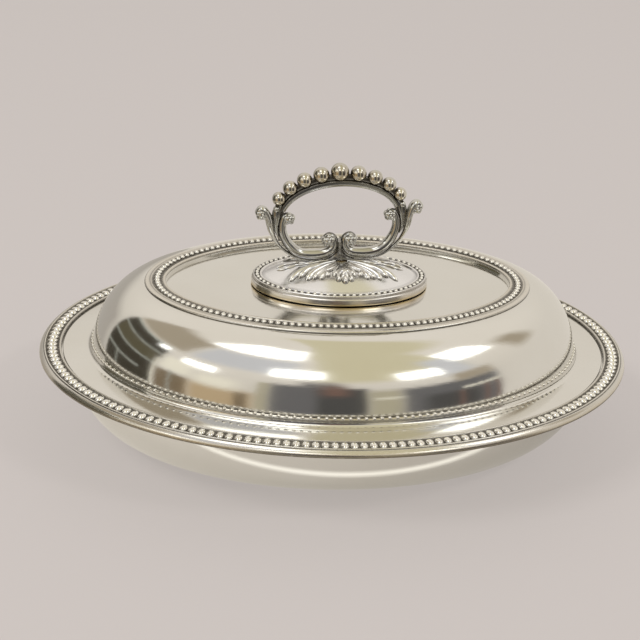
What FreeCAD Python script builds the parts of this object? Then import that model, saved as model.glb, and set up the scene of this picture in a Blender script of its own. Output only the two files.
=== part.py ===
import FreeCAD, Part
import math
import os

import Sketcher
from FreeCAD import Placement, Rotation, Vector

# An oval covered serving dish in three movable groups: a dish with a beaded border,
# a domed cover that lifts off and can stand as a second dish, and a loop handle that
# unlocks from the cover by a quarter turn. Z is up, X runs along the dish's length,
# and the origin is at the middle of the flat that the dish stands on.

doc = FreeCAD.newDocument("CoveredServingDish")

# Driving sizes in millimetres.
SIZES = [
    ("overall_length", 291.0, "dish, end to end over the border"),
    ("overall_width", 223.0, "dish, side to side over the border"),
    ("ledge_height", 44.2, "table to the ledge that carries the cover"),
    ("dish_sheet", 1.1, "wall of the dish"),
    ("wall_inset", 16.5, "border's outer edge to the top of the bowl's wall"),
    ("foot_inset", 54.0, "top of the bowl's wall to the flat underneath"),
    ("border_width", 10.7, "dish border across its mouldings"),
    ("border_height", 2.6, "dish border above the ledge"),
    ("solder_line", 0.1, "between a moulding and what it is soldered to"),
    ("border_bead_pitch", 4.2, "from bead to bead in the dish border"),
    ("border_bead_radius", 1.65, "bead of the dish border"),
    ("cover_gap", 0.6, "cover's flange to the dish border"),
    ("cover_sheet", 1.0, "wall of the cover"),
    ("flange_width", 12.0, "cover's flat flange"),
    ("cavetto_height", 1.5, "hollow between the flange and the step for the foot wire"),
    ("foot_step_width", 1.5, "step that the foot wire lies on"),
    ("foot_wire_setback", 0.4, "dome's wall to the foot wire, where it meets the step"),
    ("foot_wire_height", 1.3, "fine wire round the dome's foot"),
    ("belly_inset", 2.8, "flange's crease to the widest line of the dome"),
    ("belly_height", 9.3, "ledge to the widest line of the dome"),
    ("shoulder_inset", 24.2, "widest line of the dome to the top border's seat"),
    ("shoulder_height", 34.5, "ledge to the top border's seat"),
    ("panel_drop", 1.2, "top border's seat down to the flat panel"),
    ("top_border_setback", 0.3, "edge of the dome's seat to the top border"),
    ("top_border_width", 10.2, "top border across its mouldings"),
    ("top_border_height", 1.3, "top border above its seat"),
    ("top_bead_pitch", 3.2, "from bead to bead in the top border"),
    ("top_bead_radius", 1.35, "bead of the top border"),
    ("plaque_length", 86.8, "handle's oval plaque, end to end"),
    ("plaque_width", 57.8, "handle's oval plaque, side to side"),
    ("plaque_lift", 0.5, "plaque's skirt above the panel"),
    ("plaque_wall", 1.0, "skirt and ceiling of the plaque"),
    ("plaque_rim_height", 5.1, "plaque's rim above its skirt's edge"),
    ("plaque_rim_width", 5.5, "plaque's rim across its mouldings"),
    ("skirt_slope", 0.9, "how far the inside of the skirt leans in towards its top"),
    ("plaque_crown", 8.0, "plaque's middle above its rim"),
    ("plaque_bead_pitch", 3.1, "from bead to bead round the plaque"),
    ("plaque_bead_radius", 1.2, "bead of the plaque"),
    ("leaf_thickness", 1.0, "acanthus leaf above the plaque"),
    ("handle_half_span", 37.0, "middle of the handle to its outer curls"),
    ("handle_rise", 44.6, "underside of the scrolls to the middle of the top bead"),
    ("scroll_lift", 0.6, "underside of the scrolls above the plaque's middle"),
    ("arm_thickness", 4.4, "scroll arm at its lowest point"),
    ("curl_knob_radius", 2.4, "flower knob in the eye of each curl"),
    ("arch_thickness", 2.8, "arch at its top"),
    ("arch_width", 4.6, "arch, front to back"),
    ("top_ball_radius", 4.3, "largest ball, at the top of the arch"),
    ("stud_radius", 3.0, "handle's locking stud"),
    ("stud_clearance", 0.06, "stud in the slotted plate"),
    ("stud_fit", 0.1, "stud in the plaque and its nut"),
    ("lug_span", 15.0, "across the stud's two lugs"),
    ("lug_width", 3.4, "one lug"),
    ("lug_height", 1.8, "one lug"),
    ("lug_clearance", 0.3, "lugs under the slotted plate, and in its slot"),
    ("slot_plate_radius", 13.0, "slotted locking plate"),
    ("slot_plate_height", 1.4, "slotted locking plate"),
    ("panel_hole_radius", 9.0, "hole through the cover for the stud"),
    ("cup_depth", 6.0, "hollow of the socket cup under the slotted plate"),
    ("cup_radius", 10.0, "hollow of the socket cup"),
    ("cup_wall", 0.8, "socket cup"),
    ("nut_across_flats", 11.0, "nut that holds the plaque on the stud"),
    ("nut_height", 2.0, "nut that holds the plaque on the stud"),
    ("spring_radius", 10.0, "bowed spring washer under the nut"),
    ("spring_thickness", 0.4, "bowed spring washer"),
    ("overrun", 2.0, "what a cut runs past a face"),
]

sheet = doc.addObject("Spreadsheet::Sheet", "Sizes")
for row, (alias, value, note) in enumerate(SIZES, start=1):
    sheet.set("A%d" % row, note)
    sheet.set("B%d" % row, str(value))
    sheet.setAlias("B%d" % row, alias)
doc.recompute()


def value_of(expression):
    """What an expression on the sheet comes to."""
    result = sheet.evalExpression(expression)
    return float(getattr(result, "Value", result))


def share_of(first, second, share):
    """The expression of a place that lies a share of the way from the first to the second."""
    return "(%s + (%s - %s) * %.6f)" % (first, second, first, share)


def add(kind, name):
    """A new object of the document, whose label is its name."""
    made = doc.addObject(kind, name)
    made.Label = name
    return made


def join(name, first, second):
    """Two touching solids as one piece."""
    made = add("Part::Fuse", name)
    made.Base = first
    made.Tool = second
    made.Refine = True
    return made


def less(name, base, tool):
    """The base with the tool's space taken out."""
    made = add("Part::Cut", name)
    made.Base = base
    made.Tool = tool
    return made


# Places that several pieces share, as expressions on the sheet. Half lengths are along X.
# Each oval of the dish and cover is narrower than it is long by the same difference,
# because all of them are parallel curves struck from the same four centres.
DIFFERENCE = "((Sizes.overall_length - Sizes.overall_width) / 2)"
EDGE = "(Sizes.overall_length / 2)"
BORDER_INNER = "(%s - Sizes.border_width)" % EDGE
WALL = "(%s - Sizes.wall_inset)" % EDGE
FOOT = "(%s - Sizes.foot_inset)" % WALL
LEDGE_TOP = "Sizes.ledge_height"
LEDGE_UNDER = "(Sizes.ledge_height - Sizes.dish_sheet)"
FLANGE_EDGE = "(%s - Sizes.cover_gap)" % BORDER_INNER
FLANGE_TOP = "(Sizes.ledge_height + Sizes.cover_sheet)"
CREASE = "(%s - Sizes.flange_width)" % FLANGE_EDGE
BELLY = "(%s - Sizes.belly_inset)" % CREASE
BELLY_Z = "(Sizes.ledge_height + Sizes.belly_height)"
SHOULDER = "(%s - Sizes.shoulder_inset)" % BELLY
SEAT_Z = "(Sizes.ledge_height + Sizes.shoulder_height)"
TOP_BORDER_OUTER = "(%s - Sizes.top_border_setback)" % SHOULDER
TOP_BORDER_INNER = "(%s - Sizes.top_border_width)" % TOP_BORDER_OUTER
PANEL_Z = "(%s - Sizes.panel_drop)" % SEAT_Z
PLAQUE_DIFFERENCE = "((Sizes.plaque_length - Sizes.plaque_width) / 2)"
PLAQUE_EDGE = "(Sizes.plaque_length / 2)"
PLAQUE_Z = "(%s + Sizes.plaque_lift)" % PANEL_Z
FIELD_EDGE = "(%s - Sizes.plaque_rim_width)" % PLAQUE_EDGE
FIELD_SIDE = "(%s - %s)" % (FIELD_EDGE, PLAQUE_DIFFERENCE)

# Where the centre of an oval's end arcs lies between the difference and its smallest oval.
DISH_CENTRE_SHARE = 0.49
PLAQUE_CENTRE_SHARE = 0.32


class OvalFamily:
    """Parallel ovals of four arcs, drawn as rings of short flats that touch them. The end
    arcs are struck from (+-centre, 0) and the side arcs from (0, +-side_centre), and an
    end arc passes into a side arc on the line through both of their centres."""

    def __init__(self, difference, smallest, centre_share, flats_per_arc):
        self.difference = value_of(difference)
        self.centre = value_of(share_of(difference, smallest, centre_share))
        beyond = self.centre - self.difference
        self.side_centre = self.difference * (self.centre - self.difference / 2) / beyond
        self.flats_per_arc = flats_per_arc
        turn = math.atan2(self.side_centre, self.centre)
        side_reach = math.hypot(self.centre, self.side_centre) - self.centre
        arcs = [
            (self.centre, 0, -self.centre, -turn, turn),
            (0, -self.side_centre, side_reach, turn, math.pi - turn),
            (-self.centre, 0, -self.centre, math.pi - turn, math.pi + turn),
            (0, self.side_centre, side_reach, math.pi + turn, 2 * math.pi - turn),
        ]
        # Each flat is its facing angle and its distance from the middle at half length 0.
        self.flats = []
        for x, y, reach, first, last in arcs:
            for number in range(flats_per_arc):
                facing = first + (last - first) * (number + 0.5) / flats_per_arc
                distance = x * math.cos(facing) + y * math.sin(facing) + reach
                self.flats.append((facing, distance))

    def corners(self, half_length, height=0.0):
        """The corners of one oval's ring of flats, from the first one past the X axis."""
        middle = self.flats_per_arc // 2
        ordered = self.flats[middle:] + self.flats[:middle]
        made = []
        for number, (facing, distance) in enumerate(ordered):
            next_facing, next_distance = ordered[(number + 1) % len(ordered)]
            reach = distance + half_length
            next_reach = next_distance + half_length
            spread = math.sin(next_facing - facing)
            x = (reach * math.sin(next_facing) - next_reach * math.sin(facing)) / spread
            y = (next_reach * math.cos(facing) - reach * math.cos(next_facing)) / spread
            made.append(Vector(x, y, height))
        return made

    def wire(self, half_length, height=0.0):
        """One oval's ring as a closed wire that starts in the middle of an end flat."""
        start = Vector(half_length, 0, height)
        return Part.makePolygon([start] + self.corners(half_length, height) + [start])

    def stations(self, half_length, pitch):
        """Places evenly spaced round one oval, each with its outward direction."""
        wire = self.wire(half_length)
        count = 2 * round(wire.Length / pitch / 2)
        places = wire.discretize(Number=2 * count + 1)
        made = []
        for number in range(1, 2 * count, 2):
            along = places[number + 1] - places[number - 1]
            made.append((places[number], along.cross(Vector(0, 0, 1))))
        return made


# An odd number, so that a flat faces each end of both axes.
DISH_FLATS_PER_ARC = 9
PLAQUE_FLATS_PER_ARC = 7
DISH_OVALS = OvalFamily(DIFFERENCE, FOOT, DISH_CENTRE_SHARE, DISH_FLATS_PER_ARC)
PLAQUE_OVALS = OvalFamily(PLAQUE_DIFFERENCE, FIELD_EDGE, PLAQUE_CENTRE_SHARE, PLAQUE_FLATS_PER_ARC)


def outline_sketch(name, points):
    """A closed outline in the XZ plane, each corner held by its own two dimensions."""
    sketch = add("Sketcher::SketchObject", name)
    upright = Rotation(Vector(1, 0, 0), Vector(0, 0, 1), Vector(0, -1, 0))
    sketch.Placement = Placement(Vector(), upright)
    corners = [Vector(value_of(across), value_of(up), 0) for across, up in points]
    for number, corner in enumerate(corners):
        following = corners[(number + 1) % len(corners)]
        sketch.addGeometry(Part.LineSegment(corner, following), False)
    for number in range(len(corners)):
        before = (number - 1) % len(corners)
        sketch.addConstraint(Sketcher.Constraint("Coincident", before, 2, number, 1))
    for number, (across, up) in enumerate(points):
        for direction, expression in (("DistanceX", across), ("DistanceY", up)):
            held = sketch.addConstraint(
                Sketcher.Constraint(direction, -1, 1, number, 1, value_of(expression))
            )
            sketch.setExpression("Constraints[%d]" % held, expression)
    return sketch


def swept_ring(name, outline, ovals, half_length):
    """A moulding: an outline swept round an oval path."""
    path = add("Part::Feature", name + "_path")
    path.Shape = ovals.wire(value_of(half_length))
    ring = add("Part::Sweep", name)
    ring.Sections = [outline_sketch(name + "_outline", outline)]
    ring.Spine = (path, ["Edge%d" % (number + 1) for number in range(len(path.Shape.Edges))])
    ring.Solid = True
    ring.Transition = "Right corner"
    return ring


def oval_plate(name, ovals, half_length, low, high):
    """A flat oval plate between two heights."""
    plate = add("Part::Feature", name)
    face = Part.Face(ovals.wire(value_of(half_length), value_of(low)))
    plate.Shape = face.extrude(Vector(0, 0, value_of(high) - value_of(low)))
    return plate


def quarter_curve(low, high, low_z, high_z, powers, steps):
    """Corners along a quarter of a fattened ellipse, from (low, low_z), where it runs
    flat, to (high, high_z), where it stands upright. The powers fatten it across and up."""
    across_power, up_power = powers
    corners = []
    for step in range(steps + 1):
        turn = math.pi / 2 * (1 - step / steps)
        across = max(math.cos(turn), 0.0) ** across_power
        rise = 1 - math.sin(turn) ** up_power
        corners.append((share_of(low, high, across), share_of(low_z, high_z, rise)))
    return corners


def level_at(base_z, height, share):
    """The expression of a height above a base, as a share of a moulding's height."""
    return "(%s + %s * %.6f)" % (base_z, height, share)


def moulding(inner, outer, base_z, height, shares):
    """Corners of a moulding, whose points are shares of its width and height."""
    corners = []
    for across, up in shares:
        corners.append((share_of(inner, outer, across), level_at(base_z, height, up)))
    return corners


# The dish: a spun bowl whose wall turns out into the ledge that carries the cover.
BORDER_TURN_SHARE = 0.85
LEDGE_EDGE = "(%s - Sizes.solder_line)" % share_of(BORDER_INNER, EDGE, BORDER_TURN_SHARE)
BOWL_INNER_WALL = "(%s - Sizes.dish_sheet)" % WALL

BOWL_POWERS = (0.70, 0.915)
BOWL_STEPS = 5
bowl_outside = quarter_curve(FOOT, WALL, "0", LEDGE_UNDER, BOWL_POWERS, BOWL_STEPS)
bowl_inside = quarter_curve(
    FOOT, BOWL_INNER_WALL, "Sizes.dish_sheet", LEDGE_TOP, BOWL_POWERS, BOWL_STEPS
)
bowl_wall = swept_ring(
    "bowl_wall",
    bowl_outside + [(LEDGE_EDGE, LEDGE_UNDER), (LEDGE_EDGE, LEDGE_TOP)] + bowl_inside[::-1],
    DISH_OVALS,
    FOOT,
)
bowl_floor = oval_plate("bowl_floor", DISH_OVALS, FOOT, "0", "Sizes.dish_sheet")
dish_bowl = join("dish_bowl", bowl_wall, bowl_floor)

# The dish border: a struck moulding on the ledge, turned down over the ledge's edge,
# with a channel for the beads between an inner lip and an outer ridge.
CHANNEL_SHARE = 0.60
BORDER_SHARES = [
    (BORDER_TURN_SHARE, 0.00),
    (BORDER_TURN_SHARE, -0.55),
    (0.98, -0.50),
    (1.00, -0.20),
    (0.86, 0.30),
    (0.80, 0.90),
    (0.72, CHANNEL_SHARE),
    (0.20, CHANNEL_SHARE),
    (0.11, 0.94),
    (0.00, 0.86),
    (0.00, 0.00),
]
dish_border = swept_ring(
    "dish_border",
    moulding(BORDER_INNER, EDGE, LEDGE_TOP, "Sizes.border_height", BORDER_SHARES),
    DISH_OVALS,
    EDGE,
)

# The cover: flange, hollow, step for the foot wire, bulging dome, seat for the top
# border, and the flat panel drawn down inside it.
DOME_POWERS = (1.45, 1.0)
DOME_STEPS = 5
STEP_SHARE = 0.84
HOLLOW_SHARES = [(0.60, 0.35)]
STEP_Z = "(%s + Sizes.cavetto_height)" % FLANGE_TOP
STEP_OUTER = share_of(CREASE, BELLY, STEP_SHARE)
STEP_INNER = "(%s - Sizes.foot_step_width)" % STEP_OUTER
PANEL_EDGE = "(%s - Sizes.solder_line)" % TOP_BORDER_INNER
INNER_CREASE = "(%s - Sizes.cover_sheet)" % CREASE
INNER_STEP = "(%s - Sizes.cover_sheet)" % STEP_INNER
INNER_STEP_Z = "(%s - Sizes.cover_sheet)" % STEP_Z
INNER_BELLY = "(%s - Sizes.cover_sheet)" % BELLY
INNER_SHOULDER = "(%s - Sizes.cover_sheet)" % SHOULDER
INNER_SEAT_Z = "(%s - Sizes.cover_sheet)" % SEAT_Z
INNER_PANEL_EDGE = "(%s + Sizes.cover_sheet)" % PANEL_EDGE
PANEL_UNDER = "(%s - Sizes.cover_sheet)" % PANEL_Z

dome_outside = quarter_curve(SHOULDER, BELLY, SEAT_Z, BELLY_Z, DOME_POWERS, DOME_STEPS)
dome_inside = quarter_curve(
    INNER_SHOULDER, INNER_BELLY, INNER_SEAT_Z, BELLY_Z, DOME_POWERS, DOME_STEPS
)
cover_outside = (
    [(FLANGE_EDGE, LEDGE_TOP), (FLANGE_EDGE, FLANGE_TOP), (CREASE, FLANGE_TOP)]
    + moulding(CREASE, BELLY, FLANGE_TOP, "Sizes.cavetto_height", HOLLOW_SHARES)
    + [(STEP_OUTER, STEP_Z), (STEP_INNER, STEP_Z)]
    + dome_outside[::-1]
    + [(PANEL_EDGE, SEAT_Z), (PANEL_EDGE, PANEL_Z)]
)
cover_inside = (
    [(INNER_CREASE, LEDGE_TOP), (INNER_STEP, INNER_STEP_Z)]
    + dome_inside[::-1]
    + [(INNER_PANEL_EDGE, INNER_SEAT_Z), (INNER_PANEL_EDGE, PANEL_UNDER), (PANEL_EDGE, PANEL_UNDER)]
)
cover_wall = swept_ring("cover_wall", cover_outside + cover_inside[::-1], DISH_OVALS, FLANGE_EDGE)
cover_panel = oval_plate("cover_panel", DISH_OVALS, PANEL_EDGE, PANEL_UNDER, PANEL_Z)
cover_drawn = join("cover_drawn", cover_wall, cover_panel)
panel_hole = add("Part::Cylinder", "panel_hole")
panel_hole.setExpression("Radius", "Sizes.panel_hole_radius")
panel_hole.setExpression("Height", "Sizes.cover_sheet + 2 * Sizes.overrun")
panel_hole.setExpression("Placement.Base.z", "%s - Sizes.overrun" % PANEL_UNDER)
cover_shell = less("cover_shell", cover_drawn, panel_hole)

# The fine wire that lies on the step at the dome's foot, against the dome's wall.
WIRE_SHARES = [(0.0, 0.0), (1.0, 0.0), (0.85, 0.75), (0.35, 1.0)]
WIRE_INNER = "(%s + Sizes.foot_wire_setback)" % STEP_INNER
cover_foot_wire = swept_ring(
    "cover_foot_wire",
    moulding(WIRE_INNER, STEP_OUTER, STEP_Z, "Sizes.foot_wire_height", WIRE_SHARES),
    DISH_OVALS,
    STEP_OUTER,
)

# The top border, on which the cover stands when it is turned over.
TOP_CHANNEL_SHARE = 0.55
TOP_BORDER_SHARES = [
    (1.00, 0.00),
    (1.00, 0.30),
    (0.80, 0.75),
    (0.70, 1.00),
    (0.62, TOP_CHANNEL_SHARE),
    (0.18, TOP_CHANNEL_SHARE),
    (0.11, 1.00),
    (0.00, 0.85),
    (0.00, 0.00),
]
top_border_outline = moulding(
    TOP_BORDER_INNER, TOP_BORDER_OUTER, SEAT_Z, "Sizes.top_border_height", TOP_BORDER_SHARES
)
cover_top_border = swept_ring("cover_top_border", top_border_outline, DISH_OVALS, TOP_BORDER_OUTER)

# The handle's plaque: a skirt, a moulded rim with its bead channel, and a crowned field.
FIELD_SHARE = 0.80
PLAQUE_CHANNEL_SHARE = 0.82
PLAQUE_SHARES = [
    (1.00, 0.00),
    (0.93, 0.55),
    (0.84, 0.60),
    (0.80, 1.00),
    (0.70, PLAQUE_CHANNEL_SHARE),
    (0.27, PLAQUE_CHANNEL_SHARE),
    (0.16, 0.98),
    (0.00, FIELD_SHARE),
]
FIELD_Z = level_at(PLAQUE_Z, "Sizes.plaque_rim_height", FIELD_SHARE)
CEILING_Z = "(%s - Sizes.plaque_wall)" % FIELD_Z
CROWN_Z = "(%s + Sizes.plaque_crown)" % FIELD_Z
SKIRT_INNER = "(%s - Sizes.plaque_wall)" % PLAQUE_EDGE
SKIRT_TOP_INNER = "(%s - Sizes.skirt_slope)" % SKIRT_INNER
plaque_rim = swept_ring(
    "plaque_rim",
    moulding(FIELD_EDGE, PLAQUE_EDGE, PLAQUE_Z, "Sizes.plaque_rim_height", PLAQUE_SHARES)
    + [(FIELD_EDGE, CEILING_Z), (SKIRT_TOP_INNER, CEILING_Z), (SKIRT_INNER, PLAQUE_Z)],
    PLAQUE_OVALS,
    PLAQUE_EDGE,
)


# The crown's levels, as shares of the field's size and of the crown's height.
CROWN_SHARES = [(1.0, 0.0), (0.86, 0.27), (0.64, 0.60), (0.40, 0.85), (0.20, 0.97), (0.09, 1.0)]


def solid_of(corners, faces):
    """A solid of flat faces, each given by the numbers of its corners."""
    flats = []
    for face in faces:
        loop = [corners[number] for number in face]
        flats.append(Part.Face(Part.makePolygon(loop + loop[:1])))
    return Part.Solid(Part.Shell(flats))


def stacked(rings):
    """A solid through rings of as many corners each, with flat three-sided faces
    between them and flat ends."""
    count = len(rings[0])
    corners = [corner for ring in rings for corner in ring]
    faces = [list(range(count))[::-1], list(range(len(corners) - count, len(corners)))]
    for level in range(len(rings) - 1):
        start = level * count
        for side in range(count):
            after = (side + 1) % count
            faces.append([start + side, start + after, start + count + after])
            faces.append([start + side, start + count + after, start + count + side])
    return solid_of(corners, faces)


def crown_block(lift, low):
    """The plaque's crowned field over a flat underside, raised all over by a lift."""
    edge = PLAQUE_OVALS.corners(value_of(FIELD_EDGE))
    base = value_of(FIELD_Z) + lift
    rise = value_of("Sizes.plaque_crown")
    rings = [[Vector(corner.x, corner.y, low) for corner in edge]]
    for wide, up in CROWN_SHARES:
        height = base + rise * up
        rings.append([Vector(corner.x * wide, corner.y * wide, height) for corner in edge])
    return stacked(rings)


crown = add("Part::Feature", "crown")
crown.Shape = crown_block(0.0, value_of(CEILING_Z))
plaque_struck = join("plaque_struck", plaque_rim, crown)
plaque_hole = add("Part::Cylinder", "plaque_hole")
plaque_hole.setExpression("Radius", "Sizes.stud_radius + Sizes.stud_fit")
plaque_hole.setExpression("Height", "Sizes.plaque_rim_height + Sizes.plaque_crown + 2 * Sizes.overrun")
plaque_hole.setExpression("Placement.Base.z", "%s - Sizes.overrun" % PLAQUE_Z)
handle_plaque = less("handle_plaque", plaque_struck, plaque_hole)
doc.recompute()

# Rows of beads. Each bead stands on its channel's floor.
BEAD_SIDES = 5
BEAD_HEIGHT_SHARE = 0.95
BORDER_ROW_SHARE = 0.49
TOP_ROW_SHARE = 0.40
PLAQUE_ROW_SHARE = 0.48


def level_ring(radius, height, sides):
    """Corners of a level regular polygon."""
    turns = [2 * math.pi * side / sides for side in range(sides)]
    return [Vector(radius * math.cos(turn), radius * math.sin(turn), height) for turn in turns]


def button(radius):
    """One bead: a low point on a five-sided foot."""
    corners = level_ring(radius, 0, BEAD_SIDES) + [Vector(0, 0, radius * BEAD_HEIGHT_SHARE)]
    faces = [list(range(BEAD_SIDES))[::-1]]
    for side in range(BEAD_SIDES):
        faces.append([side, (side + 1) % BEAD_SIDES, BEAD_SIDES])
    return solid_of(corners, faces)


def bead_row(name, radius, pitch, ovals, row, floor_z):
    """A row of separate beads round an oval."""
    bead = button(value_of(radius))
    floor = Vector(0, 0, value_of(floor_z))
    beads = []
    for place, outward in ovals.stations(value_of(row), value_of(pitch)):
        placed = bead.copy()
        placed.Placement = Placement(place + floor, Rotation(Vector(1, 0, 0), outward))
        beads.append(placed)
    made = add("Part::Feature", name)
    made.Shape = Part.makeCompound(beads)
    return made


dish_bead_row = bead_row(
    "dish_bead_row",
    "Sizes.border_bead_radius",
    "Sizes.border_bead_pitch",
    DISH_OVALS,
    share_of(BORDER_INNER, EDGE, BORDER_ROW_SHARE),
    level_at(LEDGE_TOP, "Sizes.border_height", CHANNEL_SHARE),
)
cover_bead_row = bead_row(
    "cover_bead_row",
    "Sizes.top_bead_radius",
    "Sizes.top_bead_pitch",
    DISH_OVALS,
    share_of(TOP_BORDER_INNER, TOP_BORDER_OUTER, TOP_ROW_SHARE),
    level_at(SEAT_Z, "Sizes.top_border_height", TOP_CHANNEL_SHARE),
)
plaque_bead_row = bead_row(
    "plaque_bead_row",
    "Sizes.plaque_bead_radius",
    "Sizes.plaque_bead_pitch",
    PLAQUE_OVALS,
    share_of(FIELD_EDGE, PLAQUE_EDGE, PLAQUE_ROW_SHARE),
    level_at(PLAQUE_Z, "Sizes.plaque_rim_height", PLAQUE_CHANNEL_SHARE),
)

# The loop handle. Places on it are shares of its half span across, and of its rise above
# the scrolls' underside; thicknesses are shares of the arm's half thickness.
SCROLL_SHARES = [
    (0.195, 0.225, 0.50),
    (0.175, 0.262, 0.62),
    (0.130, 0.274, 0.72),
    (0.082, 0.248, 0.78),
    (0.066, 0.200, 0.80),
    (0.076, 0.150, 0.86),
    (0.116, 0.105, 0.92),
    (0.185, 0.074, 0.98),
    (0.275, 0.060, 1.02),
    (0.370, 0.058, 1.04),
    (0.460, 0.067, 1.02),
    (0.540, 0.092, 0.98),
    (0.610, 0.137, 0.94),
    (0.668, 0.195, 0.90),
    (0.712, 0.262, 0.84),
    (0.738, 0.335, 0.78),
    (0.744, 0.400, 0.72),
    (0.736, 0.460, 0.68),
    (0.706, 0.515, 0.62),
    (0.655, 0.528, 0.50),
]
STRAP_SHARES = [
    (0.280, 0.010, 0.30),
    (0.370, 0.006, 0.32),
    (0.470, 0.014, 0.32),
    (0.562, 0.038, 0.33),
    (0.648, 0.084, 0.34),
    (0.722, 0.140, 0.38),
    (0.782, 0.200, 0.44),
    (0.830, 0.262, 0.50),
    (0.868, 0.325, 0.62),
    (0.894, 0.385, 0.76),
    (0.910, 0.450, 0.88),
    (0.922, 0.520, 0.92),
    (0.950, 0.585, 0.84),
    (1.005, 0.618, 0.70),
    (1.055, 0.598, 0.56),
]
KNOB_SHARES = [(0.138, 0.218), (1.010, 0.560), (0.666, 0.478)]
NECK_SHARES = [
    (0.200, 0.000, 0.50),
    (0.120, 0.030, 0.45),
    (0.062, 0.070, 0.60),
    (0.034, 0.120, 1.00),
    (0.034, 0.215, 1.00),
]
ROD_SIDES = 6
CROWN_TOP = "(%s + Sizes.scroll_lift)" % CROWN_Z


def handle_place(across_share, up_share, side=1):
    """A place in the handle's plane."""
    return Vector(
        side * value_of("Sizes.handle_half_span") * across_share,
        0,
        value_of(CROWN_TOP) + value_of("Sizes.handle_rise") * up_share,
    )


def rod(shares, side):
    """A tapering rod through places in the handle's plane."""
    half_thickness = value_of("Sizes.arm_thickness") / 2
    places = [handle_place(across, up, side) for across, up, thick in shares]
    sideways = Vector(0, 1, 0)
    rings = []
    for number, (across, up, thick) in enumerate(shares):
        before = places[max(number - 1, 0)]
        after = places[min(number + 1, len(places) - 1)]
        outward = (after - before).normalize().cross(sideways)
        ring = []
        for corner in range(ROD_SIDES):
            turn = 2 * math.pi * (corner + 0.5) / ROD_SIDES
            offset = outward * math.cos(turn) + sideways * math.sin(turn)
            ring.append(places[number] + offset * (half_thickness * thick))
        rings.append(ring)
    return stacked(rings)


BALL_LEVEL_SHARES = [(-0.95, 0.45), (-0.38, 1.03), (0.38, 1.03), (0.95, 0.45)]
BALL_SIDES = 8


def ball(radius, centre):
    """A ball with eight flat sides and its cut-off poles towards the front and back."""
    rings = [level_ring(radius * wide, radius * up, BALL_SIDES) for up, wide in BALL_LEVEL_SHARES]
    made = stacked(rings)
    made.Placement = Placement(centre, Rotation(Vector(0, 0, 1), Vector(0, 1, 0)))
    return made


def neck_half(side):
    """One half of the waisted neck between the plaque and the two scrolls."""
    half_span = value_of("Sizes.handle_half_span")
    base = value_of(CROWN_Z)
    rise = value_of("Sizes.handle_rise")
    diagonal = math.sqrt(0.5)
    rings = []
    for across_share, up_share, depth_share in NECK_SHARES:
        along = half_span * across_share
        deep = along * depth_share
        height = base + rise * up_share
        rings.append(
            [
                Vector(0, -deep, height),
                Vector(side * along * diagonal, -deep * diagonal, height),
                Vector(side * along, 0, height),
                Vector(side * along * diagonal, deep * diagonal, height),
                Vector(0, deep, height),
            ]
        )
    return stacked(rings)


def scroll_arm(name, side):
    """One arm: the scroll between its two inner curls, the strap that runs along its back
    and leaves it for the outer curl, the flower knobs in the curls, and half the neck."""
    parts = [rod(STRAP_SHARES, side), neck_half(side)]
    for across, up in KNOB_SHARES:
        parts.append(ball(value_of("Sizes.curl_knob_radius"), handle_place(across, up, side)))
    made = add("Part::Feature", name)
    made.Shape = rod(SCROLL_SHARES, side).multiFuse(parts).removeSplitter()
    return made


scroll_arm_left = scroll_arm("scroll_arm_left", -1)
scroll_arm_right = scroll_arm("scroll_arm_right", 1)

# Acanthus sprays on the plaque's crown, one in front and one behind. Outlines are shares
# of the plaque's field, lengthwise and sideways, and the spray's middle lies sideways.
# Each outline but the bud's has a twin on the other side of that middle.
BUD_SHARES = [
    (0.035, 0.22),
    (0.042, 0.42),
    (0.100, 0.54),
    (0.112, 0.66),
    (0.066, 0.76),
    (0.000, 0.80),
    (-0.066, 0.76),
    (-0.112, 0.66),
    (-0.100, 0.54),
    (-0.042, 0.42),
    (-0.035, 0.22),
]
CURLED_LEAF_SHARES = [
    (0.050, 0.19),
    (0.130, 0.25),
    (0.232, 0.37),
    (0.256, 0.50),
    (0.215, 0.60),
    (0.160, 0.60),
    (0.126, 0.52),
    (0.120, 0.38),
]
LOBED_LEAF_SHARES = [
    (0.080, 0.14),
    (0.240, 0.14),
    (0.430, 0.19),
    (0.600, 0.31),
    (0.735, 0.55),
    (0.600, 0.48),
    (0.525, 0.63),
    (0.440, 0.50),
    (0.355, 0.66),
    (0.285, 0.46),
]
TENDRIL_SHARES = [
    (0.130, 0.030),
    (0.420, 0.025),
    (0.600, 0.050),
    (0.840, 0.040),
    (0.720, 0.110),
    (0.560, 0.090),
    (0.400, 0.105),
]
TWIN_SHARES = [CURLED_LEAF_SHARES, LOBED_LEAF_SHARES, TENDRIL_SHARES]
LEAF_SHEET = crown_block(value_of("Sizes.leaf_thickness"), value_of(FIELD_Z)).cut(crown.Shape)


def leaf(shares, twin, forward):
    """One leaf: its outline, on the twin's side and forward or back, cut from the sheet."""
    low = value_of(CEILING_Z)
    tall = value_of(CROWN_Z) + 2 * value_of("Sizes.overrun") - low
    corners = []
    for along, sideways in shares:
        x = twin * value_of(FIELD_EDGE) * along
        y = forward * value_of(FIELD_SIDE) * sideways
        corners.append(Vector(x, y, low))
    outline = Part.Face(Part.makePolygon(corners + corners[:1]))
    return outline.extrude(Vector(0, 0, tall)).common(LEAF_SHEET)


def acanthus_spray(name, forward):
    """The spray on the plaque's front (forward -1) or back (forward 1)."""
    leaves = [leaf(BUD_SHARES, 1, forward)]
    for shares in TWIN_SHARES:
        for twin in (-1, 1):
            leaves.append(leaf(shares, twin, forward))
    made = add("Part::Feature", name)
    spray = leaves[0].multiFuse(leaves[1:])
    made.Shape = spray.cut(scroll_arm_left.Shape).cut(scroll_arm_right.Shape)
    return made


acanthus_spray_front = acanthus_spray("acanthus_spray_front", -1)
acanthus_spray_back = acanthus_spray("acanthus_spray_back", 1)

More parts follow.
